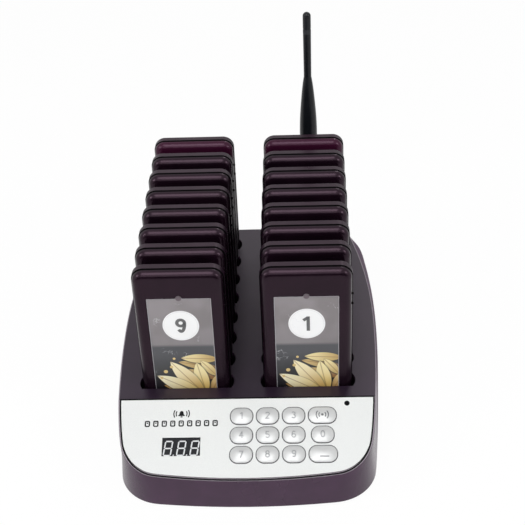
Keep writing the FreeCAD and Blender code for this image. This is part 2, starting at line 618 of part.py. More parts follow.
def make_charging_board():
    """Board with a spring contact under each charging pad and the charging chips between the pillars."""
    y = (FIRST_ROW_Y - ROW_PITCH * 0.4, LAST_ROW_Y + ROW_PITCH * 0.4)
    board = box((-CRADLE_HALF_WIDTH, CRADLE_HALF_WIDTH), y, CHARGING_BOARD_Z)
    board = board.cut([rod(SCREW_HOLE_R, Vector(*at, 0), Vector(*at, DECK_HEIGHT)) for at in AISLE_POSTS])
    contacts = []
    for at in contact_points():
        foot = Vector(at.x, at.y, CHARGING_BOARD_TOP)
        tip = at - Vector(0, 0, CONTACT_GAP + CONTACT_R * math.tan(math.radians(LEAN)))
        body = rod(CONTACT_BODY_R, foot, foot + Vector(0, 0, CONTACT_BODY_HEIGHT))
        contacts.append(body.fuse(rod(CONTACT_R, foot, tip)).removeSplitter())
    length, width, height = CHARGING_CHIP
    chips = [box(centred(x, length), centred(FIRST_ROW_Y + ROW_PITCH * row, width),
                 (CHARGING_BOARD_Z[0] - height, CHARGING_BOARD_Z[0]))
             for x in COLUMNS for row in (1.5, ROWS - 2.5)]
    return group([board] + contacts + chips)


def make_screws():
    """One size of pan-head screw: six up through the bottom cover, three into the cradle's posts and four
    into the panel's."""
    def screw(grip):
        head = rod(SCREW_HEAD_R, Vector(0, 0, -SCREW_HEAD_HEIGHT), Vector(0, 0, 0))
        head = head.makeFillet(SCREW_HEAD_HEIGHT / 3, [edge_at_height(head, -SCREW_HEAD_HEIGHT)])
        return head.fuse(rod(SCREW_R, Vector(0, 0, 0), Vector(0, 0, grip + SCREW_LENGTH))).removeSplitter()

    screws = []
    seat = FOOT_HEIGHT + HEAD_RECESS + SCREW_HEAD_HEIGHT
    for x, y in COVER_POSTS:
        screws.append(moved(screw(BOTTOM_TOP - seat), Placement(Vector(x, y, seat), Rotation())))
    for x, y in AISLE_POSTS:
        screws.append(moved(screw(BOARD_THICKNESS), Placement(Vector(x, y, CHARGING_BOARD_Z[0]), Rotation())))
    for u in (-POST_COLUMN, POST_COLUMN):
        for v in POST_ROWS:
            grip = screw(BOARD_THICKNESS)
            screws.append(slope(moved(grip, Placement(Vector(u, v, -BOARD_UNDERSIDE), Rotation()))))
    return group(screws)


# ------------------------------------------------------------------------------------ antenna and inlet

CONNECTOR_WALL_Y = wall_y(ANTENNA_X)
ELBOW = Vector(ANTENNA_X, CONNECTOR_WALL_Y + ANTENNA_STANDOFF, CONNECTOR_HEIGHT)


def along_connector(radius, start, end):
    """Cylinder on the connector's axis, between two distances behind the back wall."""
    return rod(radius, Vector(ANTENNA_X, CONNECTOR_WALL_Y + start, CONNECTOR_HEIGHT),
               Vector(ANTENNA_X, CONNECTOR_WALL_Y + end, CONNECTOR_HEIGHT))


def hexagon_nut(radius, start, end):
    """Six-sided nut on the connector's axis."""
    corners = [Vector(ANTENNA_X + radius * math.cos(math.radians(a)), CONNECTOR_WALL_Y + start,
                      CONNECTOR_HEIGHT + radius * math.sin(math.radians(a))) for a in range(0, 420, 60)]
    return Part.Face(Part.makePolygon(corners)).extrude(Vector(0, end - start, 0))


BARREL_START = WALL_NUT_THICKNESS + NUT_GAP + KNUCKLE_GAP
FORK_START = ANTENNA_STANDOFF - KNUCKLE_R - KNUCKLE_GAP


def make_antenna_socket():
    """Threaded socket through the back wall, with a nut outside and a flange inside."""
    thread = along_connector(THREAD_R, -WALL * 3, FORK_START - KNUCKLE_GAP)
    flange = along_connector(WALL_NUT_R, -WALL - WALL_NUT_THICKNESS - NUT_GAP, -WALL - NUT_GAP)
    nut = hexagon_nut(WALL_NUT_R, NUT_GAP, WALL_NUT_THICKNESS + NUT_GAP)
    return thread.fuse([flange, nut]).removeSplitter()


def make_antenna_knuckle():
    """Barrel that turns on the socket's thread, with a fork and its hinge pin."""
    barrel = along_connector(KNUCKLE_R, BARREL_START, FORK_START + KNUCKLE_GAP)
    barrel = barrel.cut(along_connector(THREAD_R + THREAD_FIT, 0, FORK_START - KNUCKLE_GAP / 2))
    cheeks = box(centred(ELBOW.x, 2 * KNUCKLE_R), (CONNECTOR_WALL_Y + FORK_START, ELBOW.y),
                 centred(ELBOW.z, 2 * KNUCKLE_R))
    eye = rod(KNUCKLE_R, ELBOW - Vector(KNUCKLE_R, 0, 0), ELBOW + Vector(KNUCKLE_R, 0, 0))
    slot = box(centred(ELBOW.x, FORK_SLOT), (ELBOW.y - KNUCKLE_R + KNUCKLE_GAP, ELBOW.y + KNUCKLE_R * 2),
               centred(ELBOW.z, 3 * KNUCKLE_R))
    pin = rod(HINGE_PIN_R, ELBOW - Vector(KNUCKLE_R, 0, 0), ELBOW + Vector(KNUCKLE_R, 0, 0))
    return barrel.fuse([cheeks, eye]).cut(slot).fuse(pin).removeSplitter()


def make_antenna_whip():
    """Flexible rubber whip: a tang in the fork, a thick foot, a long body that tapers to a slim round end."""
    tip = ANTENNA_HEIGHT
    foot = ELBOW.z + KNUCKLE_R + KNUCKLE_GAP
    groove_z = tip - WHIP_GROOVE[0]
    half_groove, groove_r = WHIP_GROOVE[1] / 2, WHIP_TIP_R - WHIP_GROOVE[2]

    def at(radius, z):
        return Vector(radius, 0, z)

    body_top = tip - WHIP_TAPER_TOP
    neck = tip - WHIP_NECK_TOP
    taper = Part.BSplineCurve()
    taper.interpolate([at(WHIP_BODY_R, body_top)] + [at(radius, body_top + up) for up, radius in WHIP_TAPER]
                      + [at(WHIP_NECK_R, neck)])
    dome_middle = WHIP_TIP_R * math.sqrt(0.5)
    shoulder = tip - WHIP_TIP_R
    dome = Part.Arc(at(WHIP_TIP_R, shoulder), at(dome_middle, shoulder + dome_middle), at(0, tip))
    line = [at(0, foot), at(WHIP_FOOT_R, foot), at(WHIP_FOOT_R, foot + WHIP_FOOT_LENGTH),
            at(WHIP_BODY_R, foot + WHIP_FOOT_LENGTH * 1.4), at(WHIP_BODY_R, body_top)]
    slim = [at(WHIP_NECK_R, neck), at(WHIP_TIP_R, groove_z - half_groove * 3),
            at(WHIP_TIP_R, groove_z - half_groove), at(groove_r, groove_z - half_groove),
            at(groove_r, groove_z + half_groove), at(WHIP_TIP_R, groove_z + half_groove),
            at(WHIP_TIP_R, shoulder)]
    edges = [Part.makeLine(a, b) for a, b in zip(line, line[1:])] + [taper.toShape()]
    edges += [Part.makeLine(a, b) for a, b in zip(slim, slim[1:])]
    edges += [dome.toShape(), Part.makeLine(at(0, tip), at(0, foot))]
    body = Part.Face(Part.Wire(edges)).revolve(Vector(0, 0, 0), Vector(0, 0, 1), 360)
    body = moved(Part.Solid(body.Shells[0]), Placement(Vector(ELBOW.x, ELBOW.y, 0), Rotation()))
    tang = box(centred(ELBOW.x, TANG_THICKNESS), centred(ELBOW.y, 2 * (KNUCKLE_R - KNUCKLE_GAP * 3)),
               (ELBOW.z, foot + WALL))
    half = Vector(TANG_THICKNESS / 2, 0, 0)
    eye = rod(KNUCKLE_R - KNUCKLE_GAP * 3, ELBOW - half, ELBOW + half)
    bore = rod(HINGE_PIN_R + HINGE_FIT, ELBOW - half * 2, ELBOW + half * 2)
    return body.fuse([tang, eye]).cut(bore).removeSplitter()


def make_power_jack():
    """Barrel inlet with its bore and centre pin, standing on the bottom cover."""
    body = inlet_box(0)
    face, middle = wall_y(INLET_X), BOTTOM_TOP + INLET_SIZE[2] / 2
    at = Vector(INLET_X, face, middle)
    bore_end = at - Vector(0, INLET_BORE_DEPTH, 0)
    body = body.cut(rod(INLET_BORE_R, bore_end, at))
    pin = rod(INLET_PIN_R, bore_end - Vector(0, INLET_PIN_R, 0), at - Vector(0, INLET_PIN_SETBACK, 0))
    return body.fuse(pin).removeSplitter()


# ------------------------------------------------------------------------------------ pager

def pager_prism(inset, front, back):
    """Pager outline set in all round, between two depths, in the pager's own frame."""
    half = PAGER_WIDTH / 2 - inset
    z = (-SEAT_DEPTH + inset, PAGER_HEIGHT - SEAT_DEPTH - inset)
    return rounded_box((-half, half), (front, back), z, PAGER_CORNER_R - inset, Vector(0, 1, 0))


PAGER_FRONT = -PAGER_THICKNESS / 2
PAGER_BACK = PAGER_THICKNESS / 2
SEAM = PAGER_FRONT + FRONT_COVER_DEPTH


def make_front_cover():
    """Front cover: soft front edge, hollow, with a recess and a thumb notch for the card."""
    cover = pager_prism(COVER_STEP, PAGER_FRONT, SEAM - COVER_SEAM)
    cover = cover.makeFillet(FRONT_EDGE_R, edges_between(cover, "Y", PAGER_FRONT - NEAR, PAGER_FRONT + NEAR))
    hollow_front = PAGER_FRONT + PAGER_WALL
    hollow = pager_prism(COVER_STEP + PAGER_WALL, hollow_front, SEAM)
    hollow = hollow.makeFillet(FRONT_EDGE_R - PAGER_WALL,
                               edges_between(hollow, "Y", hollow_front - NEAR, hollow_front + NEAR))
    top = PAGER_HEIGHT - SEAT_DEPTH - CARD_TOP
    card = rounded_box(centred(0, CARD_WIDTH), (PAGER_FRONT - WALL, PAGER_FRONT + CARD_RECESS),
                       (top - CARD_HEIGHT, top), CARD_CORNER_R, Vector(0, 1, 0))
    notch = rod(CARD_NOTCH_R, Vector(0, PAGER_FRONT - WALL, top), Vector(0, PAGER_FRONT + CARD_RECESS, top))
    return cover.cut([hollow, card, notch])


def make_back_cover():
    """Back cover with its tongue, and the circuit board, battery and charging pads that it holds."""
    cover = pager_prism(0, SEAM, PAGER_BACK)
    cover = cover.makeFillet(BACK_EDGE_R, edges_between(cover, "Y", PAGER_BACK - NEAR, PAGER_BACK + NEAR))
    tongue_inset = COVER_STEP + PAGER_WALL + PAGER_FIT
    cover = cover.fuse(pager_prism(tongue_inset, SEAM - TONGUE_LENGTH, SEAM))
    cover = cover.cut(pager_prism(tongue_inset + TONGUE_WALL, SEAM - TONGUE_LENGTH, PAGER_BACK - PAGER_WALL))
    feet = [Vector(side * PAD_SPACING / 2, pad_y(), -SEAT_DEPTH) for side in (-1, 1)]
    pads = [rod(PAD_R, foot, foot + Vector(0, 0, PAD_THICKNESS)) for foot in feet]
    width, height, thickness = BATTERY_SIZE
    back = PAGER_BACK - PAGER_WALL
    low = -SEAT_DEPTH + COVER_STEP + PAGER_WALL * 3
    battery = box(centred(0, width), (back - thickness, back), (low, low + height))
    board_inset = tongue_inset + TONGUE_WALL + PAGER_FIT
    board_back = back - thickness
    board = pager_prism(board_inset, board_back - PAGER_BOARD_THICKNESS, board_back)
    return group([cover.cut(pads).removeSplitter(), battery, board] + pads)


# ------------------------------------------------------------------------------------ write every sub-part

def pager_name(index):
    """Pagers count from the front of the right-hand column, then from the front of the left-hand one."""
    return "pager_%02d" % (index + 1)


def sub_parts():
    yield "top_cover", make_top_cover()
    yield "bottom_cover", make_bottom_cover()
    yield "feet", make_feet()
    yield "control_panel", make_control_panel()
    yield "keypad_mat", make_keypad_mat()
    yield "display_window", make_display_window()
    yield "display_module", make_display_module()
    yield "status_led", make_status_led()
    yield "main_board", make_main_board()
    yield "slot_cradle", make_slot_cradle()
    yield "charging_board", make_charging_board()
    yield "screws", make_screws()
    yield "antenna_socket", make_antenna_socket()
    yield "antenna_knuckle", make_antenna_knuckle()
    yield "antenna_whip", make_antenna_whip()
    yield "power_jack", make_power_jack()
    for name, centre, length in key_layout():
        yield "key_" + name, make_key(centre, length)
    front, back = make_front_cover(), make_back_cover()
    for index, place in enumerate(PLACES):
        yield pager_name(index) + "_front_cover", moved(front, lean_frame(*place))
        yield pager_name(index) + "_back_cover", moved(back, lean_frame(*place))


os.makedirs("parts", exist_ok=True)
for node, shape in sub_parts():
    shape.exportStep("parts/" + node + ".step")
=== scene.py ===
import math

import bpy
import numpy as np
from mathutils import Matrix, Vector
from mathutils.geometry import convex_hull_2d


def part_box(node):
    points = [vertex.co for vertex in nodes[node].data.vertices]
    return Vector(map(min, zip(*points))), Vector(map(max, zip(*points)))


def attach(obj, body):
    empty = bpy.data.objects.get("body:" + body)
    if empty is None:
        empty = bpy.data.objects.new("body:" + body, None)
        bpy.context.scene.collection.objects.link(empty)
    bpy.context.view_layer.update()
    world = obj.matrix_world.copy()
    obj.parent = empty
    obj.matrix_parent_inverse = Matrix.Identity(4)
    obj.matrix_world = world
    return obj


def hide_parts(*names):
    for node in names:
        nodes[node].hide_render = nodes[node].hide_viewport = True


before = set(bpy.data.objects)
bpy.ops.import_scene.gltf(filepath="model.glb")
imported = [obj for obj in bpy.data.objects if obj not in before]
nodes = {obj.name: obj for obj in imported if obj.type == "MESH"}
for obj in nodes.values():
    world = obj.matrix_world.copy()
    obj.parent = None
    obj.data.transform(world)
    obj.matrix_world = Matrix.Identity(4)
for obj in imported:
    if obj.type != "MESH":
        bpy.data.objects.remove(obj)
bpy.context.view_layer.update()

# ------------------------------------------------------------------------------------------ studio
# A pale floor under plain soft lamps, and the camera that looks down on the keypad. Floor and world show
# white to the eye and to gloss, while the lamps stay at a level where colours come out as written. A dark
# screen that only gloss sees gives round edges their dark line.


def tint(red, green, blue):
    """Linear colour of a display's colour of 0 to 255: low values are divided by 12.92, and the others go
    through the display's power curve of 2.4."""
    shown = np.array([red, green, blue]) / 255
    linear = np.where(shown <= 0.04045, shown / 12.92, ((shown + 0.055) / 1.055) ** 2.4)
    return (*linear.tolist(), 1.0)


class Value:
    """A shader socket. Arithmetic on it, with numbers or other sockets, adds the Math node that does it."""

    def __init__(self, finish, socket):
        self.finish, self.socket = finish, socket

    def maths(self, operation, first, second=0.0):
        return self.finish.node("ShaderNodeMath", {"operation": operation}, {0: first, 1: second})

    def __add__(self, other):
        return self.maths("ADD", self, other)

    def __sub__(self, other):
        return self.maths("SUBTRACT", self, other)

    def __rsub__(self, other):
        return self.maths("SUBTRACT", other, self)

    def __mul__(self, other):
        return self.maths("MULTIPLY", self, other)

    def __truediv__(self, other):
        return self.maths("DIVIDE", self, other)

    def __rtruediv__(self, other):
        return self.maths("DIVIDE", other, self)

    __radd__, __rmul__ = __add__, __mul__

    def least(self, other):
        return self.maths("MINIMUM", self, other)

    def most(self, other):
        return self.maths("MAXIMUM", self, other)

    def size(self):
        return self.maths("ABSOLUTE", self)

    def root(self):
        return self.maths("SQRT", self)

    def step(self, low, high):
        """0 below one value, 1 above the other, and a smooth rise between them. Where the first is the
        larger, it is 1 below and 0 above."""
        return self.finish.node("ShaderNodeMapRange", {"interpolation_type": "SMOOTHSTEP"},
                                {"Value": self, "From Min": low, "From Max": high})


class Finish:
    """A material, or the world, under construction."""

    def __init__(self, name, holder=None):
        self.holder = holder or bpy.data.materials.new(name)
        self.holder.use_nodes = True
        self.tree = self.holder.node_tree
        self.tree.nodes.clear()

    def node(self, kind, settings=None, sockets=None, output=0):
        """Adds a node: its settings first, then its sockets' values or links. It gives back one output, by
        number or name, of a node that has any."""
        made = self.tree.nodes.new(kind)
        for key, value in (settings or {}).items():
            setattr(made, key, value)
        for key, value in (sockets or {}).items():
            if isinstance(value, Value):
                self.tree.links.new(value.socket, made.inputs[key])
            else:
                made.inputs[key].default_value = value
        return Value(self, made.outputs[output]) if made.outputs else None

    def place(self):
        """Where a point of the piece lies, in metres."""
        return self.node("ShaderNodeTexCoord", output="Object")

    def along(self, axis, where=None):
        """One coordinate, X, Y or Z, of a place."""
        return self.node("ShaderNodeSeparateXYZ", {}, {0: where or self.place()}, axis)

    def upward(self):
        """How far the surface faces up: 1 on level ground, 0 on a wall and -1 underneath."""
        return self.along("Z", self.node("ShaderNodeTexCoord", output="Normal"))

    def noise(self, scale, detail=2.0, roughness=0.5):
        """Soft random values about 0.5, with so many bumps to the metre."""
        return self.node("ShaderNodeTexNoise", {}, {"Vector": self.place(), "Scale": scale,
                                                    "Detail": detail, "Roughness": roughness})

    def mix(self, factor, first, second):
        """A colour between two colours. On a Mix node these are the sockets numbered 6, 7 and 2."""
        return self.node("ShaderNodeMix", {"data_type": "RGBA"}, {0: factor, 6: first, 7: second}, 2)

    def bump(self, height, distance):
        return self.node("ShaderNodeBump", {}, {"Height": height, "Distance": distance})

    def body(self, **sockets):
        """The whole finish as one Principled shader, whose sockets are named with _ for a space."""
        named = {key.replace("_", " "): value for key, value in sockets.items()}
        return self.done(self.node("ShaderNodeBsdfPrincipled", {}, named))

    def done(self, shader):
        """Joins the shader to the output, and gives back the finished material or world."""
        holder_kind = "World" if isinstance(self.holder, bpy.types.World) else "Material"
        self.node("ShaderNodeOutput" + holder_kind, {}, {"Surface": shader})
        return self.holder

    def seen(self):
        """1 for what the eye, gloss and clear parts see, and 0 for what lights other things."""
        eye, gloss, clear = (self.node("ShaderNodeLightPath", output="Is %s Ray" % ray)
                             for ray in ("Camera", "Glossy", "Transmission"))
        return eye.most(gloss).most(clear)


scene = bpy.context.scene
scene.view_settings.view_transform = "Standard"

# The camera's turns are in radians, and its focal length is in pixels of the square frame.
CAMERA_PLACE = Vector((0.03947, -0.61161, 0.55179))
CAMERA_PITCH, CAMERA_YAW, CAMERA_ROLL = 0.640839, -0.047237, -0.047130
FRAME_PIXELS, FOCAL_PIXELS, SENSOR = 525, 1125.53, 36.0
CLIP_NEAR, CLIP_FAR = 0.01, 50.0
ahead = Vector((math.sin(CAMERA_YAW) * math.cos(CAMERA_PITCH),
                math.cos(CAMERA_YAW) * math.cos(CAMERA_PITCH), -math.sin(CAMERA_PITCH)))
level = ahead.cross(Vector((0, 0, 1))).normalized()
rise = level.cross(ahead)
camera = bpy.data.objects.new("camera", bpy.data.cameras.new("camera"))
camera.data.sensor_width = SENSOR
camera.data.lens = SENSOR * FOCAL_PIXELS / FRAME_PIXELS
camera.data.clip_start, camera.data.clip_end = CLIP_NEAR, CLIP_FAR
scene.collection.objects.link(camera)
camera_right = level * math.cos(CAMERA_ROLL) + rise * math.sin(CAMERA_ROLL)
camera_up = rise * math.cos(CAMERA_ROLL) - level * math.sin(CAMERA_ROLL)
turned = Matrix((camera_right, camera_up, -ahead)).transposed().to_4x4()
turned.translation = CAMERA_PLACE
camera.matrix_world = turned
scene.camera = camera

WHITE = (1, 1, 1, 1)
AMBIENT = 0.38
world = Finish("studio", bpy.data.worlds.new("studio"))
scene.world = world.done(world.node("ShaderNodeBackground", {}, {
    "Color": WHITE, "Strength": AMBIENT + world.seen() * (1 - AMBIENT)}))


def studio_card(name, corners, finish):
    """A flat card of the studio between four corners, given in turn."""
    mesh = bpy.data.meshes.new(name)
    mesh.from_pydata(corners, [], [(0, 1, 2, 3)])
    mesh.materials.append(finish)
    made = bpy.data.objects.new(name, mesh)
    scene.collection.objects.link(made)
    return made


CORNER_SIGNS = ((-1, -1), (1, -1), (1, 1), (-1, 1))
FLOOR_REACH = 30.0
FLOOR_GLOW = 0.95                         # share of plain white in what is seen; the rest takes the shadow
paper = Finish("floor_paper")
glow = paper.node("ShaderNodeEmission", {}, {"Color": WHITE, "Strength": 1.0})
lit = paper.node("ShaderNodeBsdfDiffuse", {}, {"Color": WHITE})
paper_look = paper.node("ShaderNodeMixShader", {}, {0: paper.seen() * FLOOR_GLOW, 1: lit, 2: glow})
floor_corners = [(side * FLOOR_REACH, end * FLOOR_REACH, 0) for side, end in CORNER_SIGNS]
floor = studio_card("floor", floor_corners, paper.done(paper_look))

SCREEN_Y, SCREEN_REACH, SCREEN_HEIGHT = -1.3, 1.6, 0.8
felt = Finish("screen_felt")
felt_look = felt.node("ShaderNodeBsdfDiffuse", {}, {"Color": tint(12, 12, 14)})
screen_corners = [(side * SCREEN_REACH, SCREEN_Y, max(end, 0) * SCREEN_HEIGHT) for side, end in CORNER_SIGNS]
screen = studio_card("dark_screen", screen_corners, felt.done(felt_look))
screen.visible_camera = screen.visible_diffuse = screen.visible_shadow = False


def softbox(name, place, aim, size, power):
    """Rectangular lamp at a place that faces a point, with its size in metres and its power in watts."""
    lamp = bpy.data.lights.new(name, "AREA")
    lamp.shape, lamp.energy = "RECTANGLE", power
    lamp.size, lamp.size_y = size
    holder = bpy.data.objects.new(name, lamp)
    holder.location = place
    holder.rotation_euler = (Vector(aim) - Vector(place)).to_track_quat("-Z", "Y").to_euler()
    scene.collection.objects.link(holder)


softbox("top_light", (-0.08, -0.5, 1.36), (-0.05, -0.38, 0.1), (0.74, 0.8), 8.2)
softbox("front_light", (-0.15, -1.25, 1.0), (0, 0, 0.08), (0.8, 0.5), 1.8)
softbox("left_light", (-1.0, -0.4, 0.75), (0, 0, 0.1), (0.3, 0.3), 3.2)
softbox("right_light", (0.95, -0.5, 0.75), (0, 0, 0.1), (0.3, 0.3), 2.8)
softbox("back_light", (0.5, 1.25, 1.15), (0.08, 0, 0.05), (0.3, 0.3), 2.0)

# ------------------------------------------------------------------------------------------ base shell
# The top cover is one injection moulding in dark aubergine plastic with a fine spark-eroded skin and a
# half-gloss. Its deck is painted darker and its walls lighter, as painted shade and light, and a painted
# highlight runs pale along its edges. The bottom cover closes it from below with six screws, and is
# painted darker as the shadow along the floor. Both keep their modelled shape and only get their finish.

DECK_FACING = (0.55, 0.95)                # how far up a face looks where wall turns into deck
WALL_DULLER = 0.18                        # added roughness of the walls below a top of another colour


def around(colour, share):
    """A colour a little darker or lighter."""
    return (*(part * share for part in colour[:3]), 1.0)


def patches(finish, scale=60.0):
    """0 to 1 in soft patches a centimetre or two wide, for the drift of a moulding's colour."""
    return finish.noise(scale).step(0.35, 0.7)


def gloss_drift(finish):
    """A small plus or minus for the roughness, which changes over a few centimetres."""
    return (finish.noise(28.0, 3.0) - 0.5) * 0.12


def moulded(name, colour, gloss, shine=0.5, drift=0.10, pits=0.00001, pit_scale=2200.0, top=None,
            **sockets):
    """Moulded plastic: the colour and the gloss drift a little over centimetres, and tiny pits cover the
    skin. Shine is the strength of its reflections. Top is another colour painted on faces that look up, as
    painted light, and beside it the walls are duller."""
    made = Finish(name)
    dull = gloss_drift(made) + gloss
    patch = patches(made)
    shade = made.mix(patch, around(colour, 1 - drift), around(colour, 1 + drift))
    if top:
        up = made.upward().step(*DECK_FACING)
        shade = made.mix(up, shade, made.mix(patch, around(top, 1 - drift), around(top, 1 + drift)))
        dull = dull + (1 - up) * WALL_DULLER
    return made.body(Base_Color=shade, Roughness=dull, Specular_IOR_Level=shine,
                     Normal=made.bump(made.noise(pit_scale, 2.0, 0.6), pits), **sockets)


def coat(node, finish):
    """Gives a modelled piece its finish."""
    nodes[node].data.materials.clear()
    nodes[node].data.materials.append(finish)


NOSE_RUN = (-0.03, -0.09)                 # Y where the nose begins, and where its look is full
EDGE_FACING = (0.62, 0.8)                 # how far up an edge looks where its painted highlight starts and is full
EDGE_ON_NOSE = (0.3, 0.25)                # how much sooner both come on the nose
EDGE_END = (0.985, 0.95)                  # the painted highlight is gone above the first and full below the second
DECK_DULL, WALL_DULL, NOSE_GLOSS = 0.34, 0.38, 0.46
shell = Finish("aubergine_shell")
facing_up = shell.upward()
top_side = facing_up.step(*DECK_FACING)
nose = shell.along("Y").step(*NOSE_RUN)
edge_start, edge_full = (facing - nose * sooner for facing, sooner in zip(EDGE_FACING, EDGE_ON_NOSE))
# A painted highlight, pale, along the edges where wall turns into deck, which comes on sooner on the nose.
edge_glint = facing_up.step(edge_start, edge_full) * facing_up.step(*EDGE_END)
patch = patches(shell)
# The walls are painted lighter and the deck darker: painted light and shade on one moulding.
wall_lit_tone = shell.mix(patch, tint(51, 25, 50), tint(57, 30, 56))
deck_shaded_tone = shell.mix(patch, tint(27, 17, 30), tint(32, 20, 35))
edge_glint_tone = tint(140, 132, 140)
coat("top_cover", shell.body(
    Base_Color=shell.mix(edge_glint, shell.mix(top_side, wall_lit_tone, deck_shaded_tone), edge_glint_tone),
    Roughness=DECK_DULL + gloss_drift(shell) + (1 - top_side) * (WALL_DULL - nose * NOSE_GLOSS),
    Specular_IOR_Level=0.47, Specular_Tint=(1.0, 0.88, 1.0, 1),
    Normal=shell.bump(shell.noise(1400.0, 2.0, 0.6), 0.00005)))
# The bottom cover is painted darker than the walls, as painted shadow along the floor.
coat("bottom_cover", moulded("aubergine_underside_shaded", tint(34, 21, 33), 0.5, shine=0.15))

# ------------------------------------------------------------------------------------------ slot cradle
# Pockets, moulded in one piece, that hang under the deck and hold the pagers upright. They are painted
# near-black as the shade inside the slots, and matt, so that the slots and the round notches at their
# ends look deep.

coat("slot_cradle", moulded("cradle_shade_black", tint(10, 9, 11), 0.6, shine=0.2))

# ------------------------------------------------------------------------------------------ boards and mat
# The charging board lies under the pockets, with two spring contacts for each pager. The main board
# lies under the panel and carries the grey rubber mat with a dome below each key.

coat("charging_board", moulded("board_green", tint(22, 70, 45), 0.4))
coat("main_board", moulded("main_board_green", tint(24, 76, 48), 0.4))
coat("keypad_mat", moulded("mat_rubber", tint(150, 152, 154), 0.6))

# ------------------------------------------------------------------------------------------ control panel
# A silver-white panel, sprayed satin, that lies in a recess of the top cover, with a black band of
# painted shade over its gap all round. Nothing is printed on it but a row of plain signs.

MM = 0.001
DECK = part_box("top_cover")[1].z
PANEL_TILT = math.radians(22.6)
PANEL_GAP, PANEL_THICKNESS = 0.35 * MM, 2.0 * MM
fold_shift = PANEL_GAP * math.cos(PANEL_TILT) - PANEL_THICKNESS * math.sin(PANEL_TILT)
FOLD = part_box("control_panel")[1].y + fold_shift         # Y where the panel's slope meets the deck


def turn(points, angle, origin):
    """Points turned about the X axis by an angle and then carried to an origin."""
    x, y, z = np.moveaxis(np.asarray(points, float), -1, 0)
    cos, sin = math.cos(angle), math.sin(angle)
    return np.stack((x + origin[0], y * cos - z * sin + origin[1], y * sin + z * cos + origin[2]), -1)


def on_slope(points):
    """Points of the panel's slope, in mm: X right, Y up the slope, Z out of it."""
    return turn(np.asarray(points) * MM, PANEL_TILT, (0, FOLD, DECK))


def proud(finish):
    """How far a point stands out of the panel's face, in mm."""
    y, z = finish.along("Y"), finish.along("Z")
    return ((z - DECK) * math.cos(PANEL_TILT) - (y - FOLD) * math.sin(PANEL_TILT)) / MM


FACE_LEVELS = (-0.16, -0.03)              # the panel's side is painted dark below these, as shade in its gap and holes, and its face silver above
silver = Finish("silver_panel")
flakes = silver.noise(5200.0, 1.0).step(0.42, 0.66)
sprayed = silver.mix(flakes, tint(220, 222, 221), tint(230, 232, 231))
coat("control_panel", silver.body(
    Base_Color=silver.mix(proud(silver).step(*FACE_LEVELS), tint(34, 34, 36), sprayed),
    Roughness=0.36 + silver.noise(900.0) * 0.08, Specular_IOR_Level=0.4,
    Normal=silver.bump(silver.noise(2400.0), 0.000006)))


def rounded(half_width, half_height, radius, steps=8):
    """Points round a rectangle with rounded corners: each corner is a quarter circle about a point that
    lies the radius inside both sides."""
    angle = np.arange(4)[:, None] * math.pi / 2 + np.linspace(0, math.pi / 2, steps + 1)
    centre = np.array([(1, 1), (-1, 1), (-1, -1), (1, -1)]) * (half_width - radius, half_height - radius)
    return (centre[:, None] + radius * np.stack((np.cos(angle), np.sin(angle)), -1)).reshape(-1, 2)


def arc(centre, radii, start, end, steps=15):
    """Points of part of an ellipse, between two angles in degrees."""
    angle = np.radians(np.linspace(start, end, steps))
    return np.asarray(centre) + np.stack((radii[0] * np.cos(angle), radii[1] * np.sin(angle)), -1)


def oval(centre, radii, steps=32):
    """Points all round an ellipse."""
    return arc(centre, radii, 0, 360, steps + 1)[:-1]


def skin(rings, closed=False):
    """Points and faces of a form: neighbouring rings are joined by quads, point j of a ring to point j + 1
    and both to the next ring. The last ring is joined to the first, or both are filled."""
    rings = np.asarray(rings, float)
    rows, count = rings.shape[:2]
    i, j = np.meshgrid(np.arange(rows if closed else rows - 1), np.arange(count), indexing="ij")
    right, up = (j + 1) % count, (i + 1) % rows
    quads = np.stack((i * count + j, i * count + right, up * count + right, up * count + j), -1)
    first, last = np.arange(count)[::-1], np.arange(count) + (rows - 1) * count
    ends = [] if closed else [first.tolist(), last.tolist()]
    return rings.reshape(-1, 3), quads.reshape(-1, 4).tolist() + ends


def unit(ways):
    """Directions of length 1."""
    return ways / np.linalg.norm(ways, axis=1)[:, None]


def outward(outline):
    """Unit directions away from an outline: each is its two sides' mean direction turned a quarter."""
    ahead, behind = np.roll(outline, -1, 0) - outline, outline - np.roll(outline, 1, 0)
    mean = unit(unit(ahead) + unit(behind))
    return np.stack((mean[:, 1], -mean[:, 0]), -1)


def plate(outline, low, high, edge=0.0):
    """A flat piece: an outline from one height to another, its upper edge taken off at 45 degrees."""
    outline = np.asarray(outline, float)
    inner = outline - edge * outward(outline)
    return skin([np.insert(ring, 2, z, 1) for ring, z in
                 ((outline, low), (outline, high - edge), (inner, high))])


def stroke(path, width, low, high, closed=False):
    """A flat bar carried along a path. At each point its corners lie half the width to both sides, along
    the mean of the two neighbouring directions turned a quarter, and further out where the path bends."""
    path = np.asarray(path, float)
    before, after = path - np.roll(path, 1, 0), np.roll(path, -1, 0) - path
    if not closed:
        before[0], after[-1] = after[0], before[-1]
    before, after = unit(before), unit(after)
    mean = unit(before + after)
    reach = width / 2 / np.clip((mean * after).sum(1), 0.5, 1)[:, None]
    side = np.stack((-mean[:, 1], mean[:, 0]), -1) * reach
    corners = ((path + side, high), (path - side, high), (path - side, low), (path + side, low))
    return skin(np.stack([np.insert(line, 2, z, 1) for line, z in corners], 1), closed)


def together(forms):
    """Several forms as one."""
    points, faces, start = [], [], 0
    for form_points, form_faces in forms:
        points.append(form_points)
        faces += [[index + start for index in face] for face in form_faces]
        start += len(form_points)
    return np.concatenate(points), faces


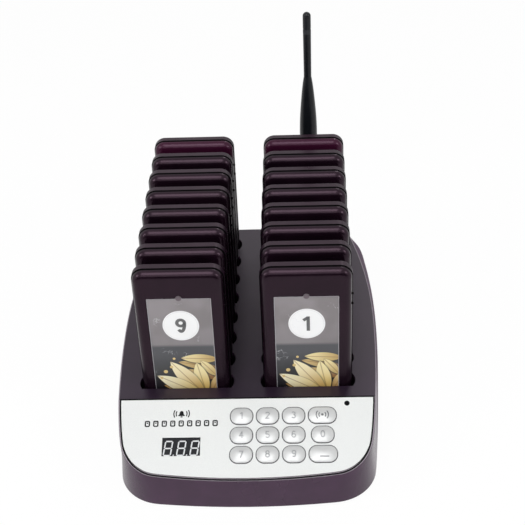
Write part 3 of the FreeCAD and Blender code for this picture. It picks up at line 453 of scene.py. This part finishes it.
def piece(name, form, finish, body, smooth=35.0):
    """A finished piece in its place, smooth where its faces meet at less than an angle."""
    points, faces = form
    mesh = bpy.data.meshes.new(name)
    mesh.from_pydata(points.tolist(), [], faces)
    mesh.update()
    mesh.polygons.foreach_set("use_smooth", np.ones(len(mesh.polygons), bool))
    mesh.set_sharp_from_angle(angle=math.radians(smooth))
    mesh.materials.append(finish)
    made = bpy.data.objects.new(name, mesh)
    scene.collection.objects.link(made)
    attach(made, body)
    return made


def panel_piece(name, forms, finish):
    """A finished piece of the base that lies on the panel's slope."""
    points, faces = together(forms)
    piece(name, (on_slope(points), faces), finish, "base")


INK = (0.0, 0.03)                         # levels of the printing, from the panel's face up
ink = moulded("panel_ink", tint(16, 16, 18), 0.5, shine=0.15)
SIGNS_CENTRE = np.array((-41.9, -14.0))
BELL_SIZE, BELL_PLACE = 0.84, (0, 3.5)
bell = np.concatenate(([(2.6, -1.75), (2.6, -1.35), (1.75, -0.5)], arc((0, 0.9), (1.5, 1.5), 0, 180),
                       [(-1.75, -0.5), (-2.6, -1.35), (-2.6, -1.75)])) * BELL_SIZE
CLAPPER_HALF, CLAPPER_CORNER, CLAPPER_PLACE = (0.75, 0.38), 0.35, (0, 1.45)
signs = [plate(bell + SIGNS_CENTRE + BELL_PLACE, *INK),
         plate(rounded(*CLAPPER_HALF, CLAPPER_CORNER, 3) + SIGNS_CENTRE + CLAPPER_PLACE, *INK)]
WAVE_RADII, WAVE_SPREAD, WAVE_PLACE, WAVE_LINE = (3.5, 5.0), 30, (0, 3.6), 0.75
for side in (0, 180):
    for radius in WAVE_RADII:
        wave = arc(SIGNS_CENTRE + WAVE_PLACE, (radius, radius), side - WAVE_SPREAD, side + WAVE_SPREAD)
        signs.append(stroke(wave, WAVE_LINE, *INK))
TAG_REACH, TAG_COUNT, TAG_DROP = 21.8, 9, 3.1
TAG_HALF, TAG_CORNER, TAG_LINE = (1.3, 1.7), 0.55, 0.85
DOT_HALF, DOT_CORNER, DOT_PLACE = (0.55, 0.42), 0.4, (0, 0.5)
for right in np.linspace(-TAG_REACH, TAG_REACH, TAG_COUNT):
    tag = SIGNS_CENTRE + (right, -TAG_DROP)
    signs.append(stroke(rounded(*TAG_HALF, TAG_CORNER, 4) + tag, TAG_LINE, *INK, closed=True))
    signs.append(plate(rounded(*DOT_HALF, DOT_CORNER, 3) + tag + DOT_PLACE, *INK))
panel_piece("panel_signs", signs, ink)

# The band of painted shade over the gap follows the panel's own outline: its corners are laid flat on the
# slope, and the outermost ones are joined in turn, without those that lie closer together than a hair.
GAP_SHADE_WIDTH, GAP_SHADE_OFFSET, GAP_SHADE_LEVELS, HAIR = 1.05, 0.33, (-0.7, 0.01), 0.02
panel_points = nodes["control_panel"].data.vertices
corners = np.empty(len(panel_points) * 3, np.float32)
panel_points.foreach_get("co", corners)
x, y, z = corners.astype(float).reshape(-1, 3).T / MM
up_slope = (y - FOLD / MM) * math.cos(PANEL_TILT) + (z - DECK / MM) * math.sin(PANEL_TILT)
on_face = np.stack((x, up_slope), -1)
rim = on_face[convex_hull_2d(on_face.tolist())]
rim = rim[np.linalg.norm(rim - np.roll(rim, 1, 0), axis=1) > HAIR]
if (rim[:, 0] * np.roll(rim[:, 1], -1) - rim[:, 1] * np.roll(rim[:, 0], -1)).sum() < 0:
    rim = rim[::-1]
gap_shade_finish = moulded("gap_shade_black", tint(6, 6, 8), 0.6, shine=0.1)
gap_shade = stroke(rim + outward(rim) * GAP_SHADE_OFFSET, GAP_SHADE_WIDTH, *GAP_SHADE_LEVELS, closed=True)
panel_piece("panel_gap_shade", [gap_shade], gap_shade_finish)

# ------------------------------------------------------------------------------------------ display
# A three-digit module behind a window level with the panel: a dark slate face with milky segments and
# points that are not lit. Beside the keys a small black lens in a dark ring covers the status light.

slate = Finish("display_slate")
slate_tone = slate.mix(slate.noise(420.0), tint(10, 12, 17), tint(20, 23, 29))
coat("display_window", slate.body(Base_Color=slate_tone, Roughness=0.25, Specular_IOR_Level=0.1))
coat("display_module", moulded("module_black", tint(20, 22, 24), 0.5))
milky = moulded("segment_milk", tint(226, 228, 230), 0.35, drift=0.03)

DIGIT_CENTRES = ((-49.65, -33.9), (-41.2, -33.9), (-32.75, -33.9))
DIGIT_HALF = (2.25, 4.7)
SEGMENT_WIDTH, SEGMENT_GAP, SEGMENT_LEVELS = 0.85, 0.12, (-0.2, -0.1)
SLANT = math.tan(math.radians(7.8))
POINT_HALF, POINT_CORNER, POINT_PLACE = (0.42, 0.42), 0.4, (1.9, 0.1)


def segment(start, end):
    """A bar with pointed ends from one corner of the digit to the next, short of both by a small gap."""
    start, end = np.array(start, float), np.array(end, float)
    way = (end - start) / np.linalg.norm(end - start)
    across = np.array((-way[1], way[0]))
    half = SEGMENT_WIDTH / 2
    start, end = start + way * SEGMENT_GAP, end - way * SEGMENT_GAP
    return np.array([start, start + (way - across) * half, end - (way + across) * half, end,
                     end - (way - across) * half, start + (way + across) * half])


bars = []
for number, centre in enumerate(DIGIT_CENTRES):
    w, h = DIGIT_HALF
    corners = [(w, h), (-w, h), (-w, 0), (-w, -h), (w, -h), (w, 0)]
    outlines = [segment(start, end) for start, end in zip(corners, corners[1:] + corners[:1])]
    outlines.append(segment((-w, 0), (w, 0)))
    if number < len(DIGIT_CENTRES) - 1:
        outlines.append(rounded(*POINT_HALF, POINT_CORNER, 3) + (w, -h) + POINT_PLACE)
    for outline in outlines:
        leaning = outline + np.stack((outline[:, 1] * SLANT, np.zeros(len(outline))), -1)
        bars.append(plate(leaning + centre, *SEGMENT_LEVELS))
panel_piece("display_segments", bars, milky)

lens = Finish("lens_black")
coat("status_led", lens.body(Base_Color=tint(6, 6, 8), Roughness=0.2, Specular_IOR_Level=0.05))
LENS_CENTRE, RING_RADII, RING_LINE, RING_LEVELS = (64.65, -4.6), (1.45, 1.45), 0.6, (-0.3, 0.012)
lens_ring = stroke(oval(LENS_CENTRE, RING_RADII), RING_LINE, *RING_LEVELS, closed=True)
panel_piece("led_ring", [lens_ring], ink)

# ------------------------------------------------------------------------------------------ keys
# Twelve crowned keys in glossy pearl-silver plastic with raised figures, each loose in its hole in the
# panel. A flange under the panel keeps a key in, and the rubber mat below pushes it up.

KEY_FACE_LEVELS = (0.1, 0.27)             # a key's side is painted dark below these, as shade in its hole, and its face pearl above
pearl = Finish("key_pearl")
lacquer = pearl.mix(pearl.noise(140.0), tint(193, 194, 194), tint(200, 201, 201))
key_tone = pearl.mix(proud(pearl).step(*KEY_FACE_LEVELS), tint(52, 52, 54), lacquer)
key_finish = pearl.body(Base_Color=key_tone, Metallic=0.2, Roughness=0.27, Specular_IOR_Level=0.3,
                        Normal=pearl.bump(pearl.noise(2600.0), 0.000004))
# The raised figures are painted darker than the key, as the shade of their relief.
mark_shaded_finish = moulded("key_mark", tint(140, 142, 144), 0.3, drift=0.04)
call_finish = moulded("call_mark", tint(96, 97, 100), 0.4, drift=0.04)

FIGURE_HALF_WIDTH, FIGURE_PITCH = 0.31, 0.68     # of figures whose height is 1, with their bars' width
LOWER_SHARE, SWAN_SHARE = 0.53, 1.08      # a lower bowl's share of the height, and the size of the 2's bowl


def figure(sign, weight):
    """Centre lines of a plain upright figure of height 1, made of straight runs and parts of ellipses, and
    whether each closes on itself."""
    w, h = FIGURE_HALF_WIDTH - weight / 2, 0.5 - weight / 2
    small, large = (1 - LOWER_SHARE) * h, LOWER_SHARE * h
    bowl = SWAN_SHARE * small
    upper, lower, middle = (0, h - small), (0, large - h), (0, h - bowl)
    six = [(oval(lower, (w, large)), True), (arc(lower, (w, 2 * h - large), 180, 50), False)]
    return {
        "0": [(oval((0, 0), (w, h), 40), True)],
        "1": [([(0.08, -0.5), (0.08, 0.5)], False), ([(0.08, h + 0.02), (-0.2, h - 0.17)], False)],
        "2": [(np.concatenate((arc(middle, (w, bowl), 168, -34), [(-w, -h), (w, -h)])), False)],
        "3": [(arc(upper, (0.9 * w, small), 155, -90), False), (arc(lower, (w, large), 90, -155), False)],
        "4": [([(0.1, h), (-w, -0.15), (w + 0.06, -0.15)], False), ([(0.1, 0.5), (0.1, -0.5)], False)],
        "5": [([(0.9 * w, h), (-0.75 * w, h), (-0.9 * w, 0)], False),
              (arc((0, 0.56 * h - h), (w, 0.56 * h), 135, -155), False)],
        "6": six,
        "7": [([(-w, h), (w, h), (-0.3 * w, -0.5)], False)],
        "8": [(oval(upper, (0.88 * w, small)), True), (oval(lower, (w, large)), True)],
        "9": [(-line, closed) for line, closed in six]}[sign]


def fine(path, parts=8):
    """An open path with each run divided into equal parts, so that it can lie on a curved face."""
    path = np.asarray(path, float)
    share = np.arange(parts)[:, None] / parts
    runs = path[:-1, None] + share * (path[1:] - path[:-1])[:, None]
    return np.concatenate((runs.reshape(-1, 2), path[-1:]))


def figures(text, height, weight, low, high):
    """Numerals as flat bars of a height, centred. The weight is a bar's width as a share of the height."""
    forms = []
    for number, sign in enumerate(text):
        shift = ((number - (len(text) - 1) / 2) * FIGURE_PITCH, 0)
        for path, closed in figure(sign, weight):
            path = path if closed else fine(path)
            forms.append(stroke((path + shift) * height, weight * height, low, high, closed))
    return together(forms)


# Places and sizes on the slope are in mm.
KEY_COLUMNS = (-3.15, 13.55, 30.2, 48.6)
KEY_ROWS = (-12.75, -25.85, -38.9)
KEY_NAMES = (("1", "2", "3", "call"), ("4", "5", "6", "0"), ("7", "8", "9", "clear"))
KEY_HALF, KEY_HALF_WIDE, KEY_CORNER, KEY_FLANGE = (7.05, 5.5), (8.8, 5.5), 5.0, 0.75
FLANGE_LEVELS = (-3.2, -2.2)
KEY_SHOULDER, KEY_BEVEL, KEY_CROWN = 0.3, 0.3, 0.8       # the bevel's start and size, and the crown's rise
CROWN_RINGS, CROWN_MIDDLE = 13, 0.01


def crown(share):
    """Height of a key's face: a dish turned over, whose height falls from the middle with the square of
    the share, 0 in the middle and 1 at the edge of the face."""
    return KEY_SHOULDER + KEY_BEVEL + KEY_CROWN * (1 - share ** 2)


def key_form(half):
    """Rings of a key from the flange's underside up the side and over the bevel, then ever smaller copies
    of the face's outline that lie on the crown."""
    rim = rounded(*half, KEY_CORNER)
    flange = rounded(half[0] + KEY_FLANGE, half[1] + KEY_FLANGE, KEY_CORNER)
    face = rounded(half[0] - KEY_BEVEL, half[1] - KEY_BEVEL, KEY_CORNER - KEY_BEVEL)
    low, high = FLANGE_LEVELS
    rings = [(flange, low), (flange, high), (rim, high), (rim, KEY_SHOULDER)]
    shares = np.cos(np.linspace(0, math.pi / 2, CROWN_RINGS + 1)[:-1])
    rings += [(face * share, crown(share)) for share in (*shares, CROWN_MIDDLE)]
    return skin([np.insert(ring, 2, height, 1) for ring, height in rings])


def share_at(points, half):
    """How far out a point of the key's face lies, 1 at the edge: its share of the straight side it looks
    at, or of the corner's circle, where the share s solves (x - s a)^2 + (y - s b)^2 = (s r)^2."""
    x, y = np.abs(points[:, 0]), np.abs(points[:, 1])
    wide, high, r = half[0] - KEY_BEVEL, half[1] - KEY_BEVEL, KEY_CORNER - KEY_BEVEL
    a, b = wide - r, high - r
    square, line = r * r - a * a - b * b, a * x + b * y
    corner = (np.sqrt(line ** 2 + square * (x * x + y * y)) - line) / square
    return np.where(x * high <= a * y, y / high, np.where(y * wide <= b * x, x / wide, corner))


UNDER, OVER = -1, 1                       # stand for a mark's underside and top until it lies on the crown
MARK_ROOT, MARK_RISE = -0.3, 0.07
CALL_RADII, CALL_SPREAD, CALL_LINE, CALL_DOT, CALL_DOT_CORNER = (2.2, 3.9), 42, 0.7, (0.8, 0.8), 0.78
CLEAR_BAR, CLEAR_LINE = [(-2.1, -1.9), (3.7, -1.9)], 0.6
KEY_FIGURE_HEIGHT, KEY_FIGURE_WEIGHT = 4.8, 0.14


def mark_form(name, half):
    """A key's raised mark: flat bars, whose tops are carried up to just over the crown, and whose
    undersides go to just under it."""
    if name == "call":
        waves = [stroke(fine(arc((0, 0), (radius, radius), side - CALL_SPREAD, side + CALL_SPREAD)),
                        CALL_LINE, UNDER, OVER) for radius in CALL_RADII for side in (0, 180)]
        points, faces = together(waves + [plate(rounded(*CALL_DOT, CALL_DOT_CORNER, 5), UNDER, OVER)])
    elif name == "clear":
        points, faces = stroke(fine(CLEAR_BAR), CLEAR_LINE, UNDER, OVER)
    else:
        points, faces = figures(name, KEY_FIGURE_HEIGHT, KEY_FIGURE_WEIGHT, UNDER, OVER)
    level = crown(share_at(points, half)) + np.where(points[:, 2] > 0, MARK_RISE, MARK_ROOT)
    return np.stack((points[:, 0], points[:, 1], level), -1), faces


# A grey ring round each key is painted shade in the key's gap.
KEY_SHADE_REACH, KEY_SHADE_LINE, KEY_SHADE_LEVELS = 0.42, 0.28, (-0.25, 0.012)
CAP_SMOOTH = 50                           # degrees, so that the flank flows into the bevel
outlines = []
for name_row, up in zip(KEY_NAMES, KEY_ROWS):
    for name, right in zip(name_row, KEY_COLUMNS):
        named = name in ("call", "clear")
        half = KEY_HALF_WIDE if named else KEY_HALF
        body = "key_" + name
        around_key = rounded(half[0] + KEY_SHADE_REACH, half[1] + KEY_SHADE_REACH, KEY_CORNER + KEY_SHADE_REACH)
        outlines.append(stroke(around_key + (right, up), KEY_SHADE_LINE, *KEY_SHADE_LEVELS, closed=True))
        points, faces = key_form(half)
        piece(body + "_cap", (on_slope(points + (right, up, 0)), faces), key_finish, body,
              CAP_SMOOTH)
        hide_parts(body)
        points, faces = mark_form(name, half)
        piece(body + "_mark", (on_slope(points + (right, up, 0)), faces),
              call_finish if named else mark_shaded_finish, body)
key_gap_shade_finish = moulded("key_gap_shade_grey", tint(112, 112, 115), 0.5, shine=0.2)
panel_piece("key_gap_shades", outlines, key_gap_shade_finish)

# ------------------------------------------------------------------------------------------ pagers
# Sixteen pagers of two moulded covers: the front cover has a large soft edge and stands in a little
# from the back cover. A thin black ring in the seam between them is painted shade, and shows as a dark
# line. The back covers' tops are painted lighter as light from above, and the last pagers' tops carry a
# painted reddish highlight. Two small pins sit on the side.

LIT_FROM_Y, LIT_FROM_Z = (0.075, 0.09), (0.118, 0.126)   # where the last pagers' tops get a painted reddish highlight
pager = Finish("pager_shell")
skin_tone = pager.mix(patches(pager, 45.0), tint(17, 7, 15), tint(23, 10, 20))
# A painted reddish highlight on the tops of the last pagers.
rear_highlight = pager.along("Y").step(*LIT_FROM_Y) * pager.along("Z").step(*LIT_FROM_Z)
pager_finish = pager.body(Base_Color=pager.mix(rear_highlight, skin_tone, tint(50, 13, 35)),
                          Roughness=0.2 + pager.noise(30.0) * 0.08,
                          Specular_IOR_Level=0.27, Specular_Tint=(1.0, 0.68, 0.88, 1),
                          Normal=pager.bump(pager.noise(1300.0, 2.0, 0.6), 0.00006))
# The back covers' tops are painted lighter than their sides, as painted light from above.
back_finish = moulded("pager_back", tint(25, 12, 23), 0.26, shine=0.12, top=tint(50, 37, 46),
                      Specular_Tint=(1.0, 0.8, 0.95, 1))
pin_finish = moulded("pin_black", tint(6, 5, 6), 0.6, shine=0.03)
seam_shade_finish = moulded("seam_shade_black", tint(5, 4, 5), 0.6, shine=0.03)

# In mm, in a pager's own upright frame, whose origin is the middle of its slot in the deck.
PAGER_COUNT = 16
PAGER_HALF, PAGER_MIDDLE, PAGER_CORNER = (29.0, 57.0), 33.8, 8.0
PAGER_TOP, FRONT_COVER_BACK = 90.3, -0.2
LEAN = math.radians(-3)


def pager_place(index):
    """Origin of a pager, in metres, found from its front cover's box."""
    low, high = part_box("pager_%02d_front_cover" % index)
    back = (FRONT_COVER_BACK * math.cos(LEAN) - PAGER_TOP * math.sin(LEAN)) * MM
    return (low.x + high.x) / 2, high.y - back, DECK


def facing(points):
    """Points drawn on the pager's front, X right and Y up, in the pager's own upright frame."""
    return np.stack((points[:, 0], -points[:, 2], points[:, 1]), -1)


SEAM_SHADE_PROFILE = ((0.03, -0.08), (0.03, 0.02), (0.4, 0.02), (0.4, 1.1), (0.8, 1.1), (0.8, -0.08))


def gasket():
    """The thin black ring of painted shade in the seam between the covers: its profile, given as how far in
    from the back cover's outline and how far forward, is carried round the outline, whose corners get
    tighter by as much as it goes in."""
    rings = [np.insert(rounded(PAGER_HALF[0] - inward, PAGER_HALF[1] - inward, PAGER_CORNER - inward, 7)
                       + (0, PAGER_MIDDLE), 2, forward, 1) for inward, forward in SEAM_SHADE_PROFILE]
    points, faces = skin(rings, closed=True)
    return facing(points), faces


PIN_DROPS = (20.0, 27.5)                  # how far the two pins lie below the pager's top
PIN_RADIUS, PIN_CORNER, PIN_STRETCH = 0.8, 0.79, 1.9
PIN_SIDE, PIN_FRONT = 28.75, -1.3
PIN_PROFILE = ((1, -0.3), (1, 0.2), (0.8, 0.33), (0.3, 0.38))


def side_pins():
    """Two round pins that point to the right: rings that keep a share of the radius at each height, with
    the heights stretched and laid along X."""
    rings = [np.insert(rounded(PIN_RADIUS * share, PIN_RADIUS * share, PIN_CORNER * share, 4), 2, height, 1)
             for share, height in PIN_PROFILE]
    points, faces = skin(rings)
    return together([(np.stack((points[:, 2] * PIN_STRETCH + PIN_SIDE, points[:, 0] + PIN_FRONT,
                                points[:, 1] + PAGER_TOP - drop), -1), faces) for drop in PIN_DROPS])


def pager_piece(part, index, form, finish, smooth=35.0):
    """A finished piece that leans in a pager's place and rides on that pager."""
    points, faces = form
    name = "pager_%02d" % index
    leaning = turn(points * MM, LEAN, pager_place(index))
    return piece(name + "_" + part, (leaning, faces), finish, name, smooth)


seam_shade_form, pins_form = gasket(), side_pins()
for index in range(1, PAGER_COUNT + 1):
    coat("pager_%02d_front_cover" % index, pager_finish)
    coat("pager_%02d_back_cover" % index, back_finish)
    pager_piece("gasket", index, seam_shade_form, seam_shade_finish)
    pager_piece("pins", index, pins_form, pin_finish)

# ------------------------------------------------------------------------------------------ cards
# Each pager's window holds a printed card behind clear film: a white disc with the pager's number on a
# grey ground, over a dark band with a spray of pale leaves. A thin light line runs round the edge.

CARD_HALF, CARD_MIDDLE, CARD_CORNER = (20.3, 37.3), 33.9, 0.6
CARD_BACK, CARD_FACE, CARD_BEVEL = 4.72, 5.02, 0.08      # how far forward its back and face lie
card = Finish("pager_card")
on_card = card.node("ShaderNodeUVMap", {"uv_map": "card"})
sheet_x = (card.along("X", on_card) - 0.5) * (2 * CARD_HALF[0])        # right of the card's middle, in mm
sheet_y = (1 - card.along("Y", on_card)) * (2 * CARD_HALF[1])          # down from its top edge, in mm


def span(centre):
    """Distance from a point of the card."""
    dx, dy = sheet_x - centre[0], sheet_y - centre[1]
    return (dx * dx + dy * dy).root()


LEAF_SOFT, LEAF_FADE = 0.12, (0.05, 0.9)
RIB_EDGE, RIB_SHARE = (0.5, 0.15), 0.55


def leaf_ways(angle):
    """A leaf's direction on the card, and the direction across it."""
    way = np.array((math.cos(math.radians(angle)), -math.sin(math.radians(angle))))
    return way, np.array((-way[1], way[0]))


def leaf_form(root, angle, length, half_width, soft):
    """1 on a leaf and 0 beside it, with a soft edge: the overlap of two equal circles whose centres lie to
    either side of the leaf's middle."""
    way, normal = leaf_ways(angle)
    middle = np.array(root) + way * length / 2
    radius = ((length / 2) ** 2 + half_width ** 2) / (2 * half_width)
    one, other = (radius - span(middle + normal * side * (radius - half_width)) for side in (1, -1))
    return one.least(other).step(-soft, soft)


def leaf_tone(root, angle, length, low, high):
    """A leaf's colour: from its root's to its tip's along its length, and darker near its rib."""
    way, normal = leaf_ways(angle)
    along = ((sheet_x - root[0]) * way[0] + (sheet_y - root[1]) * way[1]) / length
    rib = ((sheet_x - root[0]) * normal[0] + (sheet_y - root[1]) * normal[1]).size()
    blade = card.mix(along.step(*LEAF_FADE), tint(*low), tint(*high))
    return card.mix(rib.step(*RIB_EDGE) * RIB_SHARE, blade, tint(140, 96, 52))


GREY_RUN, BAND_EDGE, BAND_RUN = (0, 46), (35.6, 38.6), (41, 66)        # down from the card's top edge
ground = card.mix(sheet_y.step(*GREY_RUN), tint(139, 133, 136), tint(128, 122, 125))
ground = card.mix(card.noise(38.0).step(0.42, 0.68) * 0.5, ground, tint(104, 97, 98))
ground = card.mix(sheet_y.step(*BAND_EDGE), ground, tint(62, 63, 69))
ground = card.mix(sheet_y.step(*BAND_RUN), ground, tint(28, 28, 31))

# A leaf's root, angle, length, half its width, and its colours at the root and at the tip.
LEAVES = (((22.5, 56.0), 168, 27.0, 3.2, (150, 108, 62), (206, 178, 118)),
          ((23.0, 48.5), 177, 25.0, 3.6, (190, 158, 92), (236, 218, 160)),
          ((20.6, 64.5), 163, 25.0, 3.4, (150, 108, 62), (206, 178, 118)),
          ((20.8, 62.5), 128, 16.5, 3.0, (196, 166, 98), (240, 224, 168)),
          ((14.5, 77.0), 166, 30.0, 3.9, (176, 128, 72), (214, 172, 104)),
          ((16.0, 76.0), 64, 19.0, 3.4, (190, 150, 92), (226, 200, 140)),
          ((13.0, 77.5), 101, 27.0, 4.6, (226, 190, 104), (246, 232, 178)),
          ((12.0, 78.0), 127, 35.0, 5.4, (214, 176, 96), (250, 238, 196)),
          ((11.0, 78.5), 150, 34.0, 5.0, (236, 206, 122), (252, 244, 208)))
SHADE_SHIFT, SHADE_LONGER, SHADE_WIDER, SHADE_SOFT, SHADE_SHARE = (0.5, 0.7), 0.6, 0.5, 0.9, 0.75
for root, angle, length, half_width, low, high in LEAVES:
    shade_root = (root[0] + SHADE_SHIFT[0], root[1] + SHADE_SHIFT[1])
    shade = leaf_form(shade_root, angle, length + SHADE_LONGER, half_width + SHADE_WIDER, SHADE_SOFT)
    ground = card.mix(shade * SHADE_SHARE, ground, tint(24, 20, 20))
    ground = card.mix(leaf_form(root, angle, length, half_width, LEAF_SOFT), ground,
                      leaf_tone(root, angle, length, low, high))
SEEDS = ((-12.6, 58.2, 1.35), (-8.6, 54.4, 1.1), (-15.6, 63.4, 1.0), (-6.4, 47.6, 0.9))
for x, y, radius in SEEDS:
    seed = span((x, y)).step(radius + LEAF_SOFT, radius - LEAF_SOFT)
    ground = card.mix(seed, ground, tint(224, 196, 130))

DISC_RADIUS, DISC_DROP, DISC_SOFT = 11.6, 21.1, 0.12
from_disc = span((0, DISC_DROP))
disc = from_disc.step(DISC_RADIUS + DISC_SOFT, DISC_RADIUS - DISC_SOFT)
ground = card.mix(disc, ground, tint(248, 248, 249))
CIRCLE_RADIUS, CIRCLE_EDGE, CIRCLE_SHARE = DISC_RADIUS - 0.9, (0.22, 0.08), 0.35
circle = (from_disc - CIRCLE_RADIUS).size().step(*CIRCLE_EDGE)
ground = card.mix(circle * CIRCLE_SHARE, ground, tint(190, 190, 194))

BORDER_EDGE = (0.55, 0.35)
inside = (CARD_HALF[0] - sheet_x.size()).least(CARD_HALF[1] - (sheet_y - CARD_HALF[1]).size())
ground = card.mix(inside.step(*BORDER_EDGE), ground, tint(170, 168, 173))
NOTCH_RADIUS = 1.95
notch = span((0, 0)).step(NOTCH_RADIUS + 0.15, NOTCH_RADIUS - 0.2)
ground = card.mix(notch, ground, tint(88, 73, 82))
# Whitish lines on the film: partly real scratches, partly painted glints of light.
SCRATCH_GLINT_LINE, SCRATCH_GLINT_PLACES = (0.012, 0.004), (0.6, 0.68)
scratch_glint = (card.noise(190.0, 3.0, 0.55) - 0.5).size().step(*SCRATCH_GLINT_LINE)
scratch_glint = scratch_glint * card.noise(75.0, 1.0).step(*SCRATCH_GLINT_PLACES)
ground = card.mix(scratch_glint * 0.5, ground, tint(226, 226, 230))
card_finish = card.body(Base_Color=ground, Roughness=0.32 + scratch_glint * 0.3, Coat_Weight=0.7,
                        Coat_Roughness=0.06)
number_finish = moulded("number_ink", tint(108, 108, 109), 0.45, shine=0.3, drift=0.02)


def card_form():
    """The card: a rounded rectangle with a half-round tab on its top edge that fills the thumb notch,
    carried from the recess's floor to the card's face, with a fine bevel."""
    steps = 4
    outline = rounded(*CARD_HALF, CARD_CORNER, steps) + (0, CARD_MIDDLE)
    tab = arc((0, CARD_MIDDLE + CARD_HALF[1]), (NOTCH_RADIUS, NOTCH_RADIUS), 0, 180, 13)
    return plate(np.insert(outline, steps + 1, tab, 0), CARD_BACK, CARD_FACE, CARD_BEVEL)


NUMBER_HEIGHT, NUMBER_HEIGHT_TWO, NUMBER_WEIGHT, NUMBER_RISE = 11.2, 9.6, 0.19, 0.03
CARD_SMOOTH = 30                          # degrees, so that the bevel's edges stay crisp
card_points, card_faces = card_form()
on_sheet = (card_points[:, :2] - (0, CARD_MIDDLE)) / np.array(CARD_HALF) / 2 + 0.5
for index in range(1, PAGER_COUNT + 1):
    made = pager_piece("card", index, (facing(card_points), card_faces), card_finish,
                       CARD_SMOOTH)
    loops = np.empty(len(made.data.loops), int)
    made.data.loops.foreach_get("vertex_index", loops)
    made.data.uv_layers.new(name="card").data.foreach_set("uv", on_sheet[loops].ravel())
    height = NUMBER_HEIGHT if index < 10 else NUMBER_HEIGHT_TWO
    points, faces = figures(str(index), height, NUMBER_WEIGHT, CARD_FACE, CARD_FACE + NUMBER_RISE)
    points = points + (0, CARD_MIDDLE + CARD_HALF[1] - DISC_DROP, 0)
    pager_piece("number", index, (facing(points), faces), number_finish)

# ------------------------------------------------------------------------------------------ antenna
# A black rubber whip on a jointed brass-cored knuckle that screws on the socket in the back wall. It
# swivels on the socket and folds at the knuckle.

COLLAR_TOP, COLLAR_END, COLLAR_EDGE = 12.4, 16.0, 0.2    # a ribbed collar, so far below the whip's tip
RIB_PITCH, RIB_DEPTH = 0.6, 8
whip = Finish("antenna_whip")
drop = (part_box("antenna_whip")[1].z - whip.along("Z")) / MM
collar = (drop.step(COLLAR_TOP - COLLAR_EDGE, COLLAR_TOP + COLLAR_EDGE)
          * drop.step(COLLAR_END + COLLAR_EDGE, COLLAR_END - COLLAR_EDGE))
rubber_tone = whip.mix(patches(whip), tint(19, 21, 25), tint(26, 28, 32))
ribs = collar * drop.maths("PINGPONG", drop, RIB_PITCH) * RIB_DEPTH
coat("antenna_whip", whip.body(
    Base_Color=whip.mix(collar * 0.6, rubber_tone, tint(58, 60, 64)), Roughness=0.3 + collar * 0.2,
    Specular_IOR_Level=0.22, Normal=whip.bump(whip.noise(1800.0) + ribs, 0.000015)))
coat("antenna_knuckle", moulded("antenna_black", tint(18, 19, 22), 0.35, shine=0.3))
brass = Finish("socket_brass")
brass_tone = brass.mix(brass.noise(300.0), tint(206, 170, 92), tint(220, 186, 110))
coat("antenna_socket", brass.body(Base_Color=brass_tone, Metallic=1.0,
                                  Roughness=0.28 + brass.noise(700.0) * 0.1))

# ------------------------------------------------------------------------------------------ underside
# Four soft rubber feet under the bottom cover, six pan-head steel screws up through it, and the black
# power inlet in the back wall beside the antenna.

coat("feet", moulded("foot_rubber", tint(34, 34, 36), 0.7, pits=0.00002, pit_scale=1500.0))
steel = Finish("screw_steel")
steel_tone = steel.mix(steel.noise(500.0), tint(168, 170, 172), tint(190, 192, 194))
coat("screws", steel.body(Base_Color=steel_tone, Metallic=1.0, Roughness=0.3 + steel.noise(900.0) * 0.12))
coat("power_jack", moulded("inlet_black", tint(20, 20, 22), 0.4))
